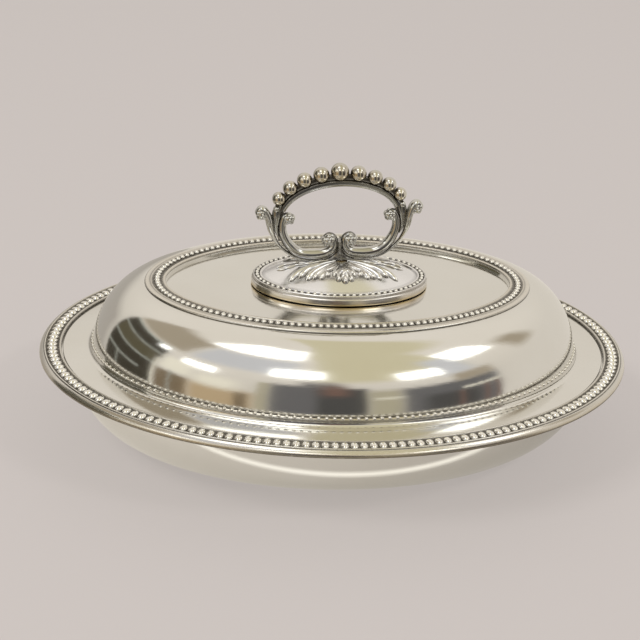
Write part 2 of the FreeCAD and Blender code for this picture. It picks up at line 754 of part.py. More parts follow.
# The arch: a flat band on an oval curve, with graduated balls along its top and a
# pointed leaf at each end that drops into the fork of the scroll below.
ARCH_FOOT_SHARE = 0.500
ARCH_HALF_SPAN_SHARE = 0.770
ARCH_TOP_SHARE = 0.880
# Turns along the arch are shares of the half turn between its two springings.
ARCH_END_SHARE = 0.078
ARCH_STEPS = 14
ARCH_END_THIN_SHARE = 0.80
TOP_BALL_TURN_SHARE = 0.5
# The other balls: their turns, and their radii as shares of the top ball's.
BALL_SHARES = [(0.4085, 0.85), (0.3195, 0.79), (0.2305, 0.74), (0.139, 0.69)]
BALL_SEAT_SHARE = 0.86
# Places across and up, then half thickness and half depth.
LEAF_END_SHARES = [
    (0.755, 0.645, 0.62, 0.95),
    (0.798, 0.580, 0.80, 0.85),
    (0.812, 0.520, 0.64, 0.70),
    (0.820, 0.460, 0.34, 0.50),
    (0.824, 0.405, 0.14, 0.35),
    (0.815, 0.330, 0.06, 0.25),
]
END_BALL_SHARES = (0.818, 0.600, 0.42)


def arch_station(turn_share):
    """The arch's middle line and its outward direction, at a share of the half turn."""
    turn = math.pi * turn_share
    along_x = value_of("Sizes.handle_half_span") * ARCH_HALF_SPAN_SHARE
    along_z = value_of("Sizes.handle_rise") * (ARCH_TOP_SHARE - ARCH_FOOT_SHARE)
    middle = handle_place(0, ARCH_FOOT_SHARE)
    middle += Vector(along_x * math.cos(turn), 0, along_z * math.sin(turn))
    outward = Vector(along_z * math.cos(turn), 0, along_x * math.sin(turn)).normalize()
    return middle, outward


def arch_ring(turn_share):
    """The arch's four corners at a share of the half turn."""
    middle, outward = arch_station(turn_share)
    thin = ARCH_END_THIN_SHARE + (1 - ARCH_END_THIN_SHARE) * math.sin(math.pi * turn_share)
    out = outward * (value_of("Sizes.arch_thickness") / 2 * thin)
    wide = Vector(0, value_of("Sizes.arch_width") / 2 * thin, 0)
    return [middle - out - wide, middle + out - wide, middle + out + wide, middle - out + wide]


def leaf_end(side):
    """The pointed leaf that an end of the arch grows from."""
    unit = value_of("Sizes.arm_thickness") / 2
    rings = []
    for across, up, thick, deep in LEAF_END_SHARES:
        centre = handle_place(across, up, side)
        half_thick = Vector(unit * thick, 0, 0)
        half_deep = Vector(0, unit * deep, 0)
        rings.append(
            [
                centre - half_thick - half_deep,
                centre + half_thick - half_deep,
                centre + half_thick + half_deep,
                centre - half_thick + half_deep,
            ]
        )
    return stacked(rings)


def arch_ball(turn_share, size_share):
    """A ball seated on the arch's outer side."""
    radius = value_of("Sizes.top_ball_radius") * size_share
    middle, outward = arch_station(turn_share)
    reach = value_of("Sizes.arch_thickness") / 2 + radius * BALL_SEAT_SHARE
    return ball(radius, middle + outward * reach)


band_rings = []
for step in range(ARCH_STEPS + 1):
    band_rings.append(arch_ring(ARCH_END_SHARE + (1 - 2 * ARCH_END_SHARE) * step / ARCH_STEPS))
arch_parts = [arch_ball(TOP_BALL_TURN_SHARE, 1)]
for turn_share, size_share in BALL_SHARES:
    arch_parts.append(arch_ball(turn_share, size_share))
    arch_parts.append(arch_ball(1 - turn_share, size_share))
for side in (1, -1):
    across_share, up_share, size_share = END_BALL_SHARES
    end_radius = value_of("Sizes.top_ball_radius") * size_share
    arch_parts.append(ball(end_radius, handle_place(across_share, up_share, side)))
    arch_parts.append(leaf_end(side))
handle_arch = add("Part::Feature", "handle_arch")
handle_arch.Shape = stacked(band_rings).multiFuse(arch_parts).removeSplitter()

# The lock between the handle and the cover. The stud's two lugs pass the slot when the
# handle stands crosswise and lie under the plate when it is turned along the dish.
PLATE_Z = "(%s - Sizes.slot_plate_height)" % PANEL_UNDER
LUG_TOP = "(%s - Sizes.lug_clearance)" % PLATE_Z
LUG_Z = "(%s - Sizes.lug_height)" % LUG_TOP


def cylinder(name, radius, low, height):
    """An upright cylinder on the Z axis."""
    made = add("Part::Cylinder", name)
    made.setExpression("Radius", radius)
    made.setExpression("Height", height)
    made.setExpression("Placement.Base.z", low)
    return made


def bar(name, length, width, low, height):
    """An upright block centred on the Z axis."""
    made = add("Part::Box", name)
    made.setExpression("Length", length)
    made.setExpression("Width", width)
    made.setExpression("Height", height)
    made.setExpression("Placement.Base.x", "-(%s) / 2" % length)
    made.setExpression("Placement.Base.y", "-(%s) / 2" % width)
    made.setExpression("Placement.Base.z", low)
    return made


stud_shank = cylinder("stud_shank", "Sizes.stud_radius", LUG_Z, "%s - %s" % (CROWN_Z, LUG_Z))
stud_lugs = bar("stud_lugs", "Sizes.lug_span", "Sizes.lug_width", LUG_Z, "Sizes.lug_height")
locking_stud = join("locking_stud", stud_shank, stud_lugs)

plate_disc = cylinder("plate_disc", "Sizes.slot_plate_radius", PLATE_Z, "Sizes.slot_plate_height")
stud_bore = cylinder(
    "stud_bore",
    "Sizes.stud_radius + Sizes.stud_clearance",
    "%s - Sizes.overrun" % PLATE_Z,
    "Sizes.slot_plate_height + 2 * Sizes.overrun",
)
lug_slot = bar(
    "lug_slot",
    "Sizes.lug_width + 2 * Sizes.lug_clearance",
    "Sizes.lug_span + 2 * Sizes.lug_clearance",
    "%s - Sizes.overrun" % PLATE_Z,
    "Sizes.slot_plate_height + 2 * Sizes.overrun",
)
plate_bored = less("plate_bored", plate_disc, stud_bore)
slotted_plate = less("slotted_plate", plate_bored, lug_slot)

# The socket cup closes the lock from below, so that the cover still holds food as a dish.
CUP_TOP_Z = PLATE_Z
CUP_FLOOR_Z = "(%s - Sizes.cup_depth)" % CUP_TOP_Z
cup_outside = cylinder(
    "cup_outside",
    "Sizes.cup_radius + Sizes.cup_wall",
    "%s - Sizes.cup_wall" % CUP_FLOOR_Z,
    "Sizes.cup_depth + Sizes.cup_wall",
)
cup_hollow = cylinder("cup_hollow", "Sizes.cup_radius", CUP_FLOOR_Z, "Sizes.cup_depth + Sizes.overrun")
socket_cup = less("socket_cup", cup_outside, cup_hollow)

# The nut holds the plaque up against the neck, and the bowed spring washer under it
# rides just clear of the panel and takes up the play of the lock.
NUT_Z = "(%s - Sizes.nut_height)" % CEILING_Z
nut_blank = add("Part::Prism", "nut_blank")
nut_blank.Polygon = 6
nut_blank.setExpression("Circumradius", "Sizes.nut_across_flats / sqrt(3)")
nut_blank.setExpression("Height", "Sizes.nut_height")
nut_blank.setExpression("Placement.Base.z", NUT_Z)
nut_bore = cylinder(
    "nut_bore",
    "Sizes.stud_radius + Sizes.stud_fit",
    "%s - Sizes.overrun" % NUT_Z,
    "Sizes.nut_height + 2 * Sizes.overrun",
)
stud_nut = less("stud_nut", nut_blank, nut_bore)

SPRING_BOW_SHARE = 0.55


def bowed_washer(name):
    """A thin washer bent about the Y axis, high in the middle and low at both ends."""
    radius = value_of("Sizes.spring_radius")
    thick = value_of("Sizes.spring_thickness")
    top = value_of(NUT_Z)
    bow = (top - value_of(PANEL_Z) - thick) * SPRING_BOW_SHARE
    bend = (radius**2 + bow**2) / (2 * bow)
    width = 2 * radius
    outer = Part.makeCylinder(bend, width, Vector(0, -radius, top - bend), Vector(0, 1, 0))
    inner = Part.makeCylinder(bend - thick, width, Vector(0, -radius, top - bend), Vector(0, 1, 0))
    low = Vector(0, 0, top - bow - 2 * thick)
    tall = bow + 3 * thick
    disc = Part.makeCylinder(radius, tall, low)
    hole = Part.makeCylinder(value_of("Sizes.stud_radius + Sizes.stud_fit"), tall, low)
    made = add("Part::Feature", name)
    made.Shape = outer.cut(inner).common(disc).cut(hole)
    return made


spring_washer = bowed_washer("spring_washer")

PIECES = [
    dish_bowl,
    dish_border,
    dish_bead_row,
    cover_shell,
    cover_foot_wire,
    cover_top_border,
    cover_bead_row,
    slotted_plate,
    socket_cup,
    handle_plaque,
    plaque_bead_row,
    acanthus_spray_front,
    acanthus_spray_back,
    scroll_arm_left,
    scroll_arm_right,
    handle_arch,
    locking_stud,
    stud_nut,
    spring_washer,
]
doc.recompute()
failed = [thing.Name for thing in doc.Objects if "Invalid" in thing.State or "Error" in thing.State]
if failed:
    raise RuntimeError("these did not build: %s" % ", ".join(failed))
os.makedirs("parts", exist_ok=True)
for piece in PIECES:
    shape = piece.Shape
    if shape.isNull() or not shape.isValid():
        raise RuntimeError("%s has no valid shape" % piece.Label)
    shape.exportStep("parts/%s.step" % piece.Label)
    print(piece.Label, len(shape.Solids), "solids", round(shape.Volume, 1), "mm3")
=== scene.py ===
# %% [markdown]
# # An oval covered serving dish in old silver plate
# The dish is built in the order in which its maker would put it together: the spun bowl
# and its beaded border, the domed cover, and the cast loop handle that locks on top. The
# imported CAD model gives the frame, so every new surface here is set where a CAD piece is.

# %% Load the frame
import math

import bmesh
import bpy
import numpy as np
from mathutils import Matrix, Vector


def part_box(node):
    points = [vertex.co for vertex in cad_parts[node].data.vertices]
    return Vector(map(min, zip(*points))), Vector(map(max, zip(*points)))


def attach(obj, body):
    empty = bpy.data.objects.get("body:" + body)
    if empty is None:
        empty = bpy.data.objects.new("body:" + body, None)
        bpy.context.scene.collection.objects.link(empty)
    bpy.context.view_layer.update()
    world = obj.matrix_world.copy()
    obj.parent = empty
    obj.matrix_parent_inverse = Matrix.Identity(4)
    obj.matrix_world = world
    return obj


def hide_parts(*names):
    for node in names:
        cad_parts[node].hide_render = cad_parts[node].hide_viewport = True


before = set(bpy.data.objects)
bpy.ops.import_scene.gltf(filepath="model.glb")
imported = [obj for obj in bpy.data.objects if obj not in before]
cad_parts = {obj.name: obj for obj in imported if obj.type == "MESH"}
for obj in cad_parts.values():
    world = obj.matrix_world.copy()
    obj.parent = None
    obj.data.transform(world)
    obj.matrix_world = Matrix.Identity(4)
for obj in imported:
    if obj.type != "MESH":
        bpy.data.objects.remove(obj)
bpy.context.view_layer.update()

print("pieces of the frame:", len(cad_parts))

# %% [markdown]
# ## Sizes
# The shapes below are worked out in millimetres, as a silversmith would, and turned into
# Blender's metres only when a mesh is made. The main sizes come from the CAD pieces' boxes,
# which keeps the new surfaces on the old ones if the model changes.

# %% Sizes from the frame
MM = 0.001


def lowest(node):
    """A CAD piece's lowest corner, in millimetres."""
    return np.array(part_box(node)[0]) / MM


def highest(node):
    """A CAD piece's highest corner, in millimetres."""
    return np.array(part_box(node)[1]) / MM


dish_edge, dish_side = highest("dish_border")[:2]
narrower_by = dish_edge - dish_side
ledge_z = highest("dish_bowl")[2]
flange_edge = highest("cover_shell")[0]
seat_z = highest("cover_shell")[2]
plaque_edge, plaque_side = highest("handle_plaque")[:2]
plaque_z = lowest("handle_plaque")[2]
crown_z = highest("locking_stud")[2]
print("dish %.1f x %.1f mm, ledge at %.1f mm" % (2 * dish_edge, 2 * dish_side, ledge_z))

# %% [markdown]
# ## Camera
# The photograph looks down on the dish by about 25 degrees, a little from the left, with a
# long lens and a slight tilt of the camera. The lens and distance were found by fitting the
# ovals of the borders, so the perspective agrees from the front bead to the back one.

# %% Set up the camera
def linked(name, data):
    """A new object in the scene."""
    thing = bpy.data.objects.new(name, data)
    bpy.context.scene.collection.objects.link(thing)
    return thing


IMAGE_SIDE = 640
SENSOR_WIDTH = 36.0
FOCAL_PIXELS = 1502.1
CAMERA_TURN = math.radians(-8.74)
CAMERA_RISE = math.radians(24.65)
CAMERA_TILT = math.radians(3.2)
CAMERA_DISTANCE = 743.3
CAMERA_TARGET = Vector((-8.5, 0.0, 57.7))

level = math.cos(CAMERA_RISE)
backward = (math.sin(CAMERA_TURN) * level, -math.cos(CAMERA_TURN) * level, math.sin(CAMERA_RISE))
backward = Vector(backward)
level_right = (-backward).cross(Vector((0, 0, 1))).normalized()
level_up = level_right.cross(-backward)
right = level_right * math.cos(CAMERA_TILT) + level_up * math.sin(CAMERA_TILT)
up = level_up * math.cos(CAMERA_TILT) - level_right * math.sin(CAMERA_TILT)
camera = linked("camera", bpy.data.cameras.new("camera"))
camera.data.sensor_width = SENSOR_WIDTH
camera.data.lens = FOCAL_PIXELS / IMAGE_SIDE * SENSOR_WIDTH
place = (CAMERA_TARGET + backward * CAMERA_DISTANCE) * MM
turn = Matrix((right, up, backward)).transposed()
camera.matrix_world = Matrix.Translation(place) @ turn.to_4x4()
bpy.context.scene.camera = camera
bpy.context.scene.view_settings.view_transform = "Standard"
print("lens %.1f mm" % camera.data.lens)

# %% [markdown]
# ## Surfaces from grids
# Nearly every part of a silver dish is a section carried round an oval, so one grid of
# points can hold each of them: one direction goes round the oval and the other along the
# section. Parallel ovals are an oval pushed outwards by the same distance everywhere, which
# is how a border keeps its width all the way round.

# %% Grids of points and the meshes made from them
AROUND = 480


def full_turn(count):
    """Even angles round a full turn."""
    return np.linspace(0, 2 * np.pi, count, endpoint=False)


def unit(vectors):
    """Vectors scaled to length one."""
    return vectors / np.linalg.norm(vectors, axis=-1, keepdims=True)


def xyz(*parts):
    """Points from their x, y and z, or from x and z alone in the handle's plane."""
    return np.stack(np.broadcast_arrays(*parts), axis=-1)


def even_oval(half_length, half_width, count):
    """Points (a cos t, b sin t) spaced evenly along the oval, and its outward directions
    (b cos t, a sin t) scaled to length one."""
    fine = np.linspace(0, 2 * np.pi, 8 * count + 1)
    speed = np.hypot(half_length * np.sin(fine), half_width * np.cos(fine))
    travelled = np.concatenate([[0], np.cumsum((speed[1:] + speed[:-1]) / 2)])
    t = np.interp(np.linspace(0, travelled[-1], count, endpoint=False), travelled, fine)
    points = np.column_stack([half_length * np.cos(t), half_width * np.sin(t)])
    outward = np.column_stack([half_width * np.cos(t), half_length * np.sin(t)])
    return points, unit(outward)


def round_oval(section, base, count=AROUND):
    """A grid (section points, places round the oval, xyz): each section point (a, z) is the
    base oval pushed outwards by a minus its half length, at height z."""
    points, outward = even_oval(*base, count)
    push = (section[:, 0] - base[0])[:, None, None]
    flat = points + push * outward
    return xyz(flat[..., 0], flat[..., 1], section[:, 1:2])


def softened(corners, steps=5):
    """A path through corners (a, z, rounding, ...) where each corner is replaced by the
    curve p0 (1-t)^2 + 2 c t (1-t) + p1 t^2 between points one rounding before and after."""
    corners = np.array(corners, float)
    path = [corners[:1]]
    t = np.linspace(0, 1, steps)[:, None]
    for before, corner, after in zip(corners[:-2], corners[1:-1], corners[2:]):
        ends = []
        for neighbour in (before, after):
            length = np.linalg.norm(neighbour[:2] - corner[:2])
            share = min(corner[2] / length, 0.48)
            ends.append(corner + (neighbour - corner) * share)
        path.append(ends[0] * (1 - t) ** 2 + 2 * corner * t * (1 - t) + ends[1] * t**2)
    path.append(corners[-1:])
    return np.vstack(path)


def softened_loop(corners, steps=5):
    """The same for a closed section: it starts and ends in the middle of its last side."""
    corners = np.array(corners, float)
    middle = (corners[:1] + corners[-1:]) / 2
    return softened(np.vstack([middle, corners, middle]), steps)[:-1]


def grid_shell(grid, loop=False, tarnish_and_shade=0.0, wear_and_reflection=0.0):
    """The points of a (rows, columns, xyz) grid and four-sided faces between neighbours.
    Columns close round; rows do too where loop is set. The tarnish-and-shade and
    wear-and-reflection numbers are per row or point."""
    rows, columns = grid.shape[:2]
    index = np.arange(rows * columns).reshape(rows, columns)
    near = index if loop else index[:-1]
    far = np.roll(index, -1, axis=0) if loop else index[1:]
    faces = np.stack([near, np.roll(near, -1, axis=1), np.roll(far, -1, axis=1), far], axis=-1)

    def per_point(value):
        value = np.asarray(value, float)
        value = value[:, None] if value.ndim == 1 else value
        return np.broadcast_to(value, (rows, columns)).reshape(-1)

    return grid.reshape(-1, 3), faces.reshape(-1, 4), per_point(tarnish_and_shade), per_point(wear_and_reflection)


def capped_shell(grid, tarnish_and_shade):
    """A shell whose first and last rows are each closed by the point in their middle."""
    rows = np.concatenate([grid[:1], grid, grid[-1:]])
    rows[[0, -1]] = rows[[0, -1]].mean(axis=1, keepdims=True)
    tarnish_and_shade = np.broadcast_to(tarnish_and_shade, grid.shape[:2])
    return grid_shell(rows, tarnish_and_shade=np.vstack([tarnish_and_shade[:1], tarnish_and_shade, tarnish_and_shade[-1:]]))


def joined(shells):
    """Several shells as one."""
    points, faces, tarnish_and_shade, wear_and_reflection = zip(*shells)
    starts = np.cumsum([0] + [len(part) for part in points[:-1]])
    faces = [part + start for part, start in zip(faces, starts)]
    return np.vstack(points), np.vstack(faces), np.concatenate(tarnish_and_shade), np.concatenate(wear_and_reflection)


def repeated(shell, places, headings):
    """Copies of a shell: each is turned about Z to its heading (cos, sin) and moved."""
    points, faces, tarnish_and_shade, wear_and_reflection = shell
    cos, sin = headings[:, :1], headings[:, 1:2]
    x = points[:, 0] * cos - points[:, 1] * sin + places[:, :1]
    y = points[:, 0] * sin + points[:, 1] * cos + places[:, 1:2]
    z = points[:, 2] + places[:, 2:3]
    copies = len(places)
    all_faces = faces[None] + (np.arange(copies) * len(points))[:, None, None]
    return (
        xyz(x, y, z).reshape(-1, 3),
        all_faces.reshape(-1, faces.shape[1]),
        np.tile(tarnish_and_shade, copies),
        np.tile(wear_and_reflection, copies),
    )


SHARP_ANGLE = math.radians(38)
MERGE_DISTANCE = 2e-6


def make_piece(name, shell, body, nodes, slot, look=None):
    """A shell in millimetres as a finished piece: doubled points merged, faces outwards,
    shaded smooth, riding on a body and standing for CAD nodes. It gets the look that is
    named as its slot is, unless another is given."""
    points, faces, tarnish_and_shade, wear_and_reflection = shell
    mesh = bpy.data.meshes.new(name)
    mesh.from_pydata((points * MM).tolist(), [], faces.tolist())
    for label, values in (("tarnish_and_shade", tarnish_and_shade), ("wear_and_reflection", wear_and_reflection)):
        layer = mesh.attributes.new(label, "FLOAT", "POINT")
        layer.data.foreach_set("value", values.astype(np.float32))
    solid = bmesh.new()
    solid.from_mesh(mesh)
    bmesh.ops.remove_doubles(solid, verts=solid.verts, dist=MERGE_DISTANCE)
    bmesh.ops.dissolve_degenerate(solid, edges=solid.edges, dist=MERGE_DISTANCE / 2)
    bmesh.ops.recalc_face_normals(solid, faces=solid.faces)
    solid.to_mesh(mesh)
    solid.free()
    mesh.polygons.foreach_set("use_smooth", np.ones(len(mesh.polygons), bool))
    mesh.set_sharp_from_angle(angle=SHARP_ANGLE)
    mesh.materials.append(looks[look or slot])
    piece = linked(name, mesh)
    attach(piece, body)
    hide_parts(*nodes)
    print("%-22s %6d faces" % (name, len(mesh.polygons)))


# %% [markdown]
# ## Old silver plate
# Polished silver is almost a mirror, and what makes it look old is everything that isn't:
# grey-brown tarnish where a cloth can't reach, warm base metal where it has rubbed too
# often, and a haze of fine scratches. Each surface carries two numbers, tarnish_and_shade and
# wear_and_reflection, and one material turns them into colour and roughness, broken up by
# noise so that neither stops at a line. The first also holds painted shade where the handle's
# parts meet and under the top border, and the second a painted warm reflection on the arch's balls.

# %% The silver material
def new_metal(name):
    """A material of plain metal, its node tree and its shader."""
    material = bpy.data.materials.new(name)
    material.use_nodes = True
    shader = material.node_tree.nodes["Principled BSDF"]
    shader.inputs["Metallic"].default_value = 1.0
    return material, material.node_tree, shader


def point_number(tree, label):
    """A number that the mesh carries at each of its points."""
    node = tree.nodes.new("ShaderNodeAttribute")
    node.attribute_name = label
    return node.outputs["Fac"]


def feed(tree, socket, value):
    """A socket linked to another one, or set to a number or a colour."""
    if isinstance(value, bpy.types.NodeSocket):
        tree.links.new(value, socket)
    else:
        socket.default_value = value


def new_node(tree, kind, **inputs):
    """A node of a kind, with its inputs fed; their names are written with low lines."""
    node = tree.nodes.new("ShaderNode" + kind)
    for label, value in inputs.items():
        feed(tree, node.inputs[label.replace("_", " ")], value)
    return node


def mixed(tree, factor, first, second):
    """The colour that lies between two, as far as the factor says."""
    mix = tree.nodes.new("ShaderNodeMix")
    mix.data_type = "RGBA"
    for place, value in ((0, factor), (6, first), (7, second)):
        feed(tree, mix.inputs[place], value)
    return mix.outputs[2]


def worked(tree, operation, *values):
    """One step of arithmetic on sockets and numbers, kept between 0 and 1."""
    step = tree.nodes.new("ShaderNodeMath")
    step.operation = operation
    step.use_clamp = True
    for socket, value in zip(step.inputs, values):
        feed(tree, socket, value)
    return step.outputs[0]


def bumped(tree, shader, height, strength):
    """Fine relief on a shader, as deep as a scratch."""
    bump = new_node(tree, "Bump", Strength=strength, Distance=SCRATCH_DEPTH, Height=height)
    feed(tree, shader.inputs["Normal"], bump.outputs["Normal"])


def noise(tree, size_mm, stretch=(1, 1, 1), detail=3.0):
    """Noise whose lumps are about a size across, on the object's own coordinates."""
    spot = new_node(tree, "TexCoord").outputs["Object"]
    place = new_node(tree, "Mapping", Vector=spot, Scale=stretch).outputs["Vector"]
    fineness = 1 / (size_mm * MM)
    lumps = new_node(tree, "TexNoise", Vector=place, Scale=fineness, Detail=detail)
    return lumps.outputs["Fac"]


SCRATCH_DEPTH = 0.02 * MM
# Tarnish colour, also used for painted shade; base metal colour, also used for a painted warm
# reflection.
TARNISH_AND_SHADE = (0.075, 0.066, 0.055, 1)
BASE_METAL_AND_REFLECTION = (0.70, 0.56, 0.32, 1)


def silver(name, bright, shade, gloss, scratch):
    """Silver plate: a bright colour that clouds over to a shade, tarnish and painted shade by the
    tarnish_and_shade number, base metal and a painted warm reflection by the wear_and_reflection
    number, and fine scratches in the surface."""
    material, tree, shader = new_metal(name)
    tarnish_and_shade, wear_and_reflection = point_number(tree, "tarnish_and_shade"), point_number(tree, "wear_and_reflection")
    clouds = noise(tree, 38.0)
    specks = noise(tree, 1.6)
    smears = noise(tree, 9.0, stretch=(0.35, 1, 1))
    dark = worked(tree, "MULTIPLY", tarnish_and_shade, worked(tree, "MULTIPLY_ADD", specks, 1.1, 0.45))
    rubbed_and_reflection = worked(tree, "MULTIPLY", wear_and_reflection, worked(tree, "MULTIPLY_ADD", smears, 1.5, 0.1))
    colour = mixed(tree, worked(tree, "MULTIPLY_ADD", clouds, 2.4, -0.7), bright, shade)
    colour = mixed(tree, rubbed_and_reflection, colour, BASE_METAL_AND_REFLECTION)
    colour = mixed(tree, dark, colour, TARNISH_AND_SHADE)
    feed(tree, shader.inputs["Base Color"], colour)
    haze = worked(tree, "MULTIPLY_ADD", smears, gloss, gloss * 0.5)
    rough = worked(tree, "MULTIPLY_ADD", dark, 0.34, haze)
    feed(tree, shader.inputs["Roughness"], rough)
    bumped(tree, shader, noise(tree, 0.9, stretch=(0.06, 1, 1), detail=1.0), scratch)
    return material


SILVERS = {
    "spun_silver": ((0.83, 0.82, 0.79, 1), (0.80, 0.785, 0.745, 1), 0.10, 0.5),
    "moulded_silver": ((0.84, 0.82, 0.78, 1), (0.79, 0.765, 0.71, 1), 0.16, 0.3),
    "bead_silver": ((0.92, 0.91, 0.88, 1), (0.88, 0.86, 0.81, 1), 0.12, 0.1),
    "plaque_silver": ((0.90, 0.90, 0.92, 1), (0.85, 0.85, 0.87, 1), 0.16, 0.3),
    "leaf_silver": ((0.88, 0.87, 0.86, 1), (0.80, 0.79, 0.77, 1), 0.12, 0.2),
    "cast_silver": ((0.70, 0.70, 0.68, 1), (0.52, 0.51, 0.48, 1), 0.05, 0.2),
}
looks = {name: silver(name, *settings) for name, settings in SILVERS.items()}
print("silver looks:", len(looks))

# %% [markdown]
# ## The dish
# The bowl is one sheet spun over a wooden chuck: a flat that it stands on, a wall that
# swells quickly and then stands nearly upright, and a ledge turned out flat to carry the
# cover. The section is a quarter of a fattened ellipse, pushed inwards by the sheet's
# thickness for the inside.

# %% The bowl
SHEET = 1.1
WALL_EDGE = dish_edge - 16.5
FOOT_EDGE = WALL_EDGE - 54.0
ACROSS_POWER = 0.70
UP_POWER = 0.915
LEDGE_EDGE = highest("dish_bowl")[0]
BEND = 1.4
DISH_BASE = (WALL_EDGE, WALL_EDGE - narrower_by)


def quarter(outer, low, high, count=40):
    """A quarter of a fattened ellipse: a grows from the foot's edge as sin(t) to a power and
    z as one minus cos(t) to another, while t goes from nothing to a right angle."""
    t = np.linspace(0, np.pi / 2, count) ** 1.3 / (np.pi / 2) ** 0.3
    a = FOOT_EDGE + (outer - FOOT_EDGE) * np.sin(t) ** ACROSS_POWER
    z = low + (high - low) * (1 - np.clip(np.cos(t), 0, 1) ** UP_POWER)
    return np.column_stack([a, z])


def disc_rows(edge_row, shares, heights=None):
    """Rows that shrink one row of a grid towards the middle by shares."""
    rows = edge_row[None] * np.array([1, 1, 0]) * np.asarray(shares)[:, None, None]
    rows[:, :, 2] = edge_row[0, 2] if heights is None else np.asarray(heights)[:, None]
    return rows


def with_discs(walls, count):
    """Walls whose first and last rows are carried in to the middle as flat discs."""
    shares = np.linspace(0, 1, count, endpoint=False)
    discs = disc_rows(walls[0], shares), disc_rows(walls[-1], shares[::-1])
    return np.concatenate([discs[0], walls, discs[1]])


outside = quarter(WALL_EDGE, 0, ledge_z - SHEET - BEND)
inside = quarter(WALL_EDGE - SHEET, SHEET, ledge_z - BEND)
ledge = softened(
    [
        (WALL_EDGE, ledge_z - SHEET - BEND, 0), (WALL_EDGE, ledge_z - SHEET, BEND),
        (LEDGE_EDGE, ledge_z - SHEET, 0.2), (LEDGE_EDGE, ledge_z, 0.2),
        (WALL_EDGE - SHEET, ledge_z, BEND), (WALL_EDGE - SHEET, ledge_z - BEND, 0),
    ]
)
bowl_section = np.vstack([outside, ledge[1:-1, :2], inside[::-1]])
bowl_grid = with_discs(round_oval(bowl_section, DISH_BASE), 4)
bowl = grid_shell(bowl_grid, tarnish_and_shade=0.04)
make_piece("dish_bowl_spun", bowl, "dish", ["dish_bowl"], "spun_silver")

# %% [markdown]
# The border is a strip of struck moulding soldered over the ledge: a small lip, a channel
# for the beads, a fine ridge, and a broad slope that turns down over the edge. Its hollows
# hold tarnish, and its outer edge is rubbed down to the yellow metal underneath. Each corner
# of the section below says how far across and how high it is, how much it is rounded, and
# how dirty and how worn the metal is there.

# %% The dish border
BORDER_WIDTH = 10.7
border_inner = dish_edge - BORDER_WIDTH
BORDER_CORNERS = [
    (0.2, 0, 0.05, 0.9, 0), (0, 2, 0.5, 0.5, 0), (1, 2.35, 0.4, 0, 0.1),
    (1.35, 1.5, 0.2, 0.9, 0), (3.3, 1.3, 0.3, 0.8, 0), (5.3, 1.3, 0.3, 0.8, 0),
    (7.45, 1.5, 0.2, 0.9, 0), (7.8, 2.4, 0.3, 0, 0.1), (8.3, 2.3, 0.2, 0.1, 0),
    (8.55, 1.8, 0.12, 1, 0), (8.95, 1.85, 0.4, 0.15, 0), (10.1, 0.9, 0.8, 0.1, 0.1),
    (10.65, -0.1, 0.4, 0.2, 0.4), (10.7, -0.8, 0.4, 0.8, 0.7), (10.45, -1.35, 0.3, 0.9, 0.5),
    (9.2, -1.35, 0.1, 0.6, 0.1), (9.2, 0, 0.05, 0.6, 0),
]


def moulding(corners, edge, foot_z, steps=5):
    """A closed strip round the dish from corners (across, height, rounding, tarnish_and_shade,
    wear_and_reflection).
    """
    section = softened_loop(corners, steps) + np.array([edge, foot_z, 0, 0, 0])
    grid = round_oval(section, DISH_BASE)
    return grid_shell(grid, loop=True, tarnish_and_shade=section[:, 3], wear_and_reflection=section[:, 4])


border = moulding(BORDER_CORNERS, border_inner, ledge_z)
make_piece("dish_border_struck", border, "dish", ["dish_border"], "moulded_silver")

# %% [markdown]
# A row of beads is one small dome repeated at even steps round the oval. There are hundreds
# of them, so each has only a few dozen faces. A bead is clean on top, where the cloth rubs,
# and dark round its foot.

# %% Beads
BEAD_COLUMNS = 12
BEAD_LEVELS = np.radians([-8, 14, 38, 64, 90])


def bead(half_sizes, grime):
    """Half a ball squeezed to three half sizes: (cos v cos u, cos v sin u, sin v)."""
    u = full_turn(BEAD_COLUMNS)
    v = BEAD_LEVELS[:, None]
    grid = xyz(np.cos(v) * np.cos(u), np.cos(v) * np.sin(u), np.sin(v))
    tarnish_and_shade = np.clip(1.0 - 1.9 * np.sin(BEAD_LEVELS), 0, 1)
    return grid_shell(grid * np.array(half_sizes), tarnish_and_shade=grime * tarnish_and_shade)


def bead_row(base, half_length, pitch, floor_z, half_sizes, grime=1.0):
    """Beads spaced evenly round the oval parallel to a base oval, their foot at a height.
    Their half sizes are across the row, along it and up."""
    shape = (half_length, half_length - (base[0] - base[1]))
    turns = 2 * round(math.pi * (shape[0] + shape[1]) / pitch / 2)
    points, outward = even_oval(*shape, turns)
    places = np.column_stack([points, np.full(turns, floor_z)])
    print("beads in this row:", turns)
    return repeated(bead(half_sizes, grime), places, outward)


beads = bead_row(DISH_BASE, border_inner + 4.5, 4.2, ledge_z + 1.25, (2.75, 1.95, 1.7))
make_piece("dish_beads", beads, "dish", ["dish_bead_row"], "bead_silver")

# %% [markdown]
# ## The cover
# The cover is spun in one sheet as well. Its flat flange lies on the dish's ledge, a small
# cove lifts it to a fine beaded wire, and from there the dome rises almost straight and
# rolls over to the seat of the top border. Because the side never quite stands upright, it
# mirrors the room and not the flange. Inside the border the panel is drawn down flat.

# %% The cover
COVER_SHEET = 1.0
SHOULDER_EDGE = flange_edge - 39.0
DOME_REACH = 24.95
DOME_DEPTH = 35.2
DOME_POWER = 1.15
DOME_FOOT_Z = ledge_z + 5.0
TOP_BORDER_INNER = highest("cover_top_border")[0] - 10.2
PANEL_DROP = 1.2
WIRE_SEAT = 4.0


def dome(shrink, drop, count=48):
    """The dome's side: from the seat, a grows as sin(t) to a power and z falls as one minus
    cos(t), and t stops where z reaches the wire, before the side stands upright."""
    last = math.acos(1 - (seat_z - DOME_FOOT_Z) / DOME_DEPTH)
    t = last * np.linspace(0, 1, count) ** 1.2
    a = SHOULDER_EDGE - shrink + DOME_REACH * np.sin(t) ** DOME_POWER
    return np.column_stack([a, seat_z - drop - DOME_DEPTH * (1 - np.cos(t))])


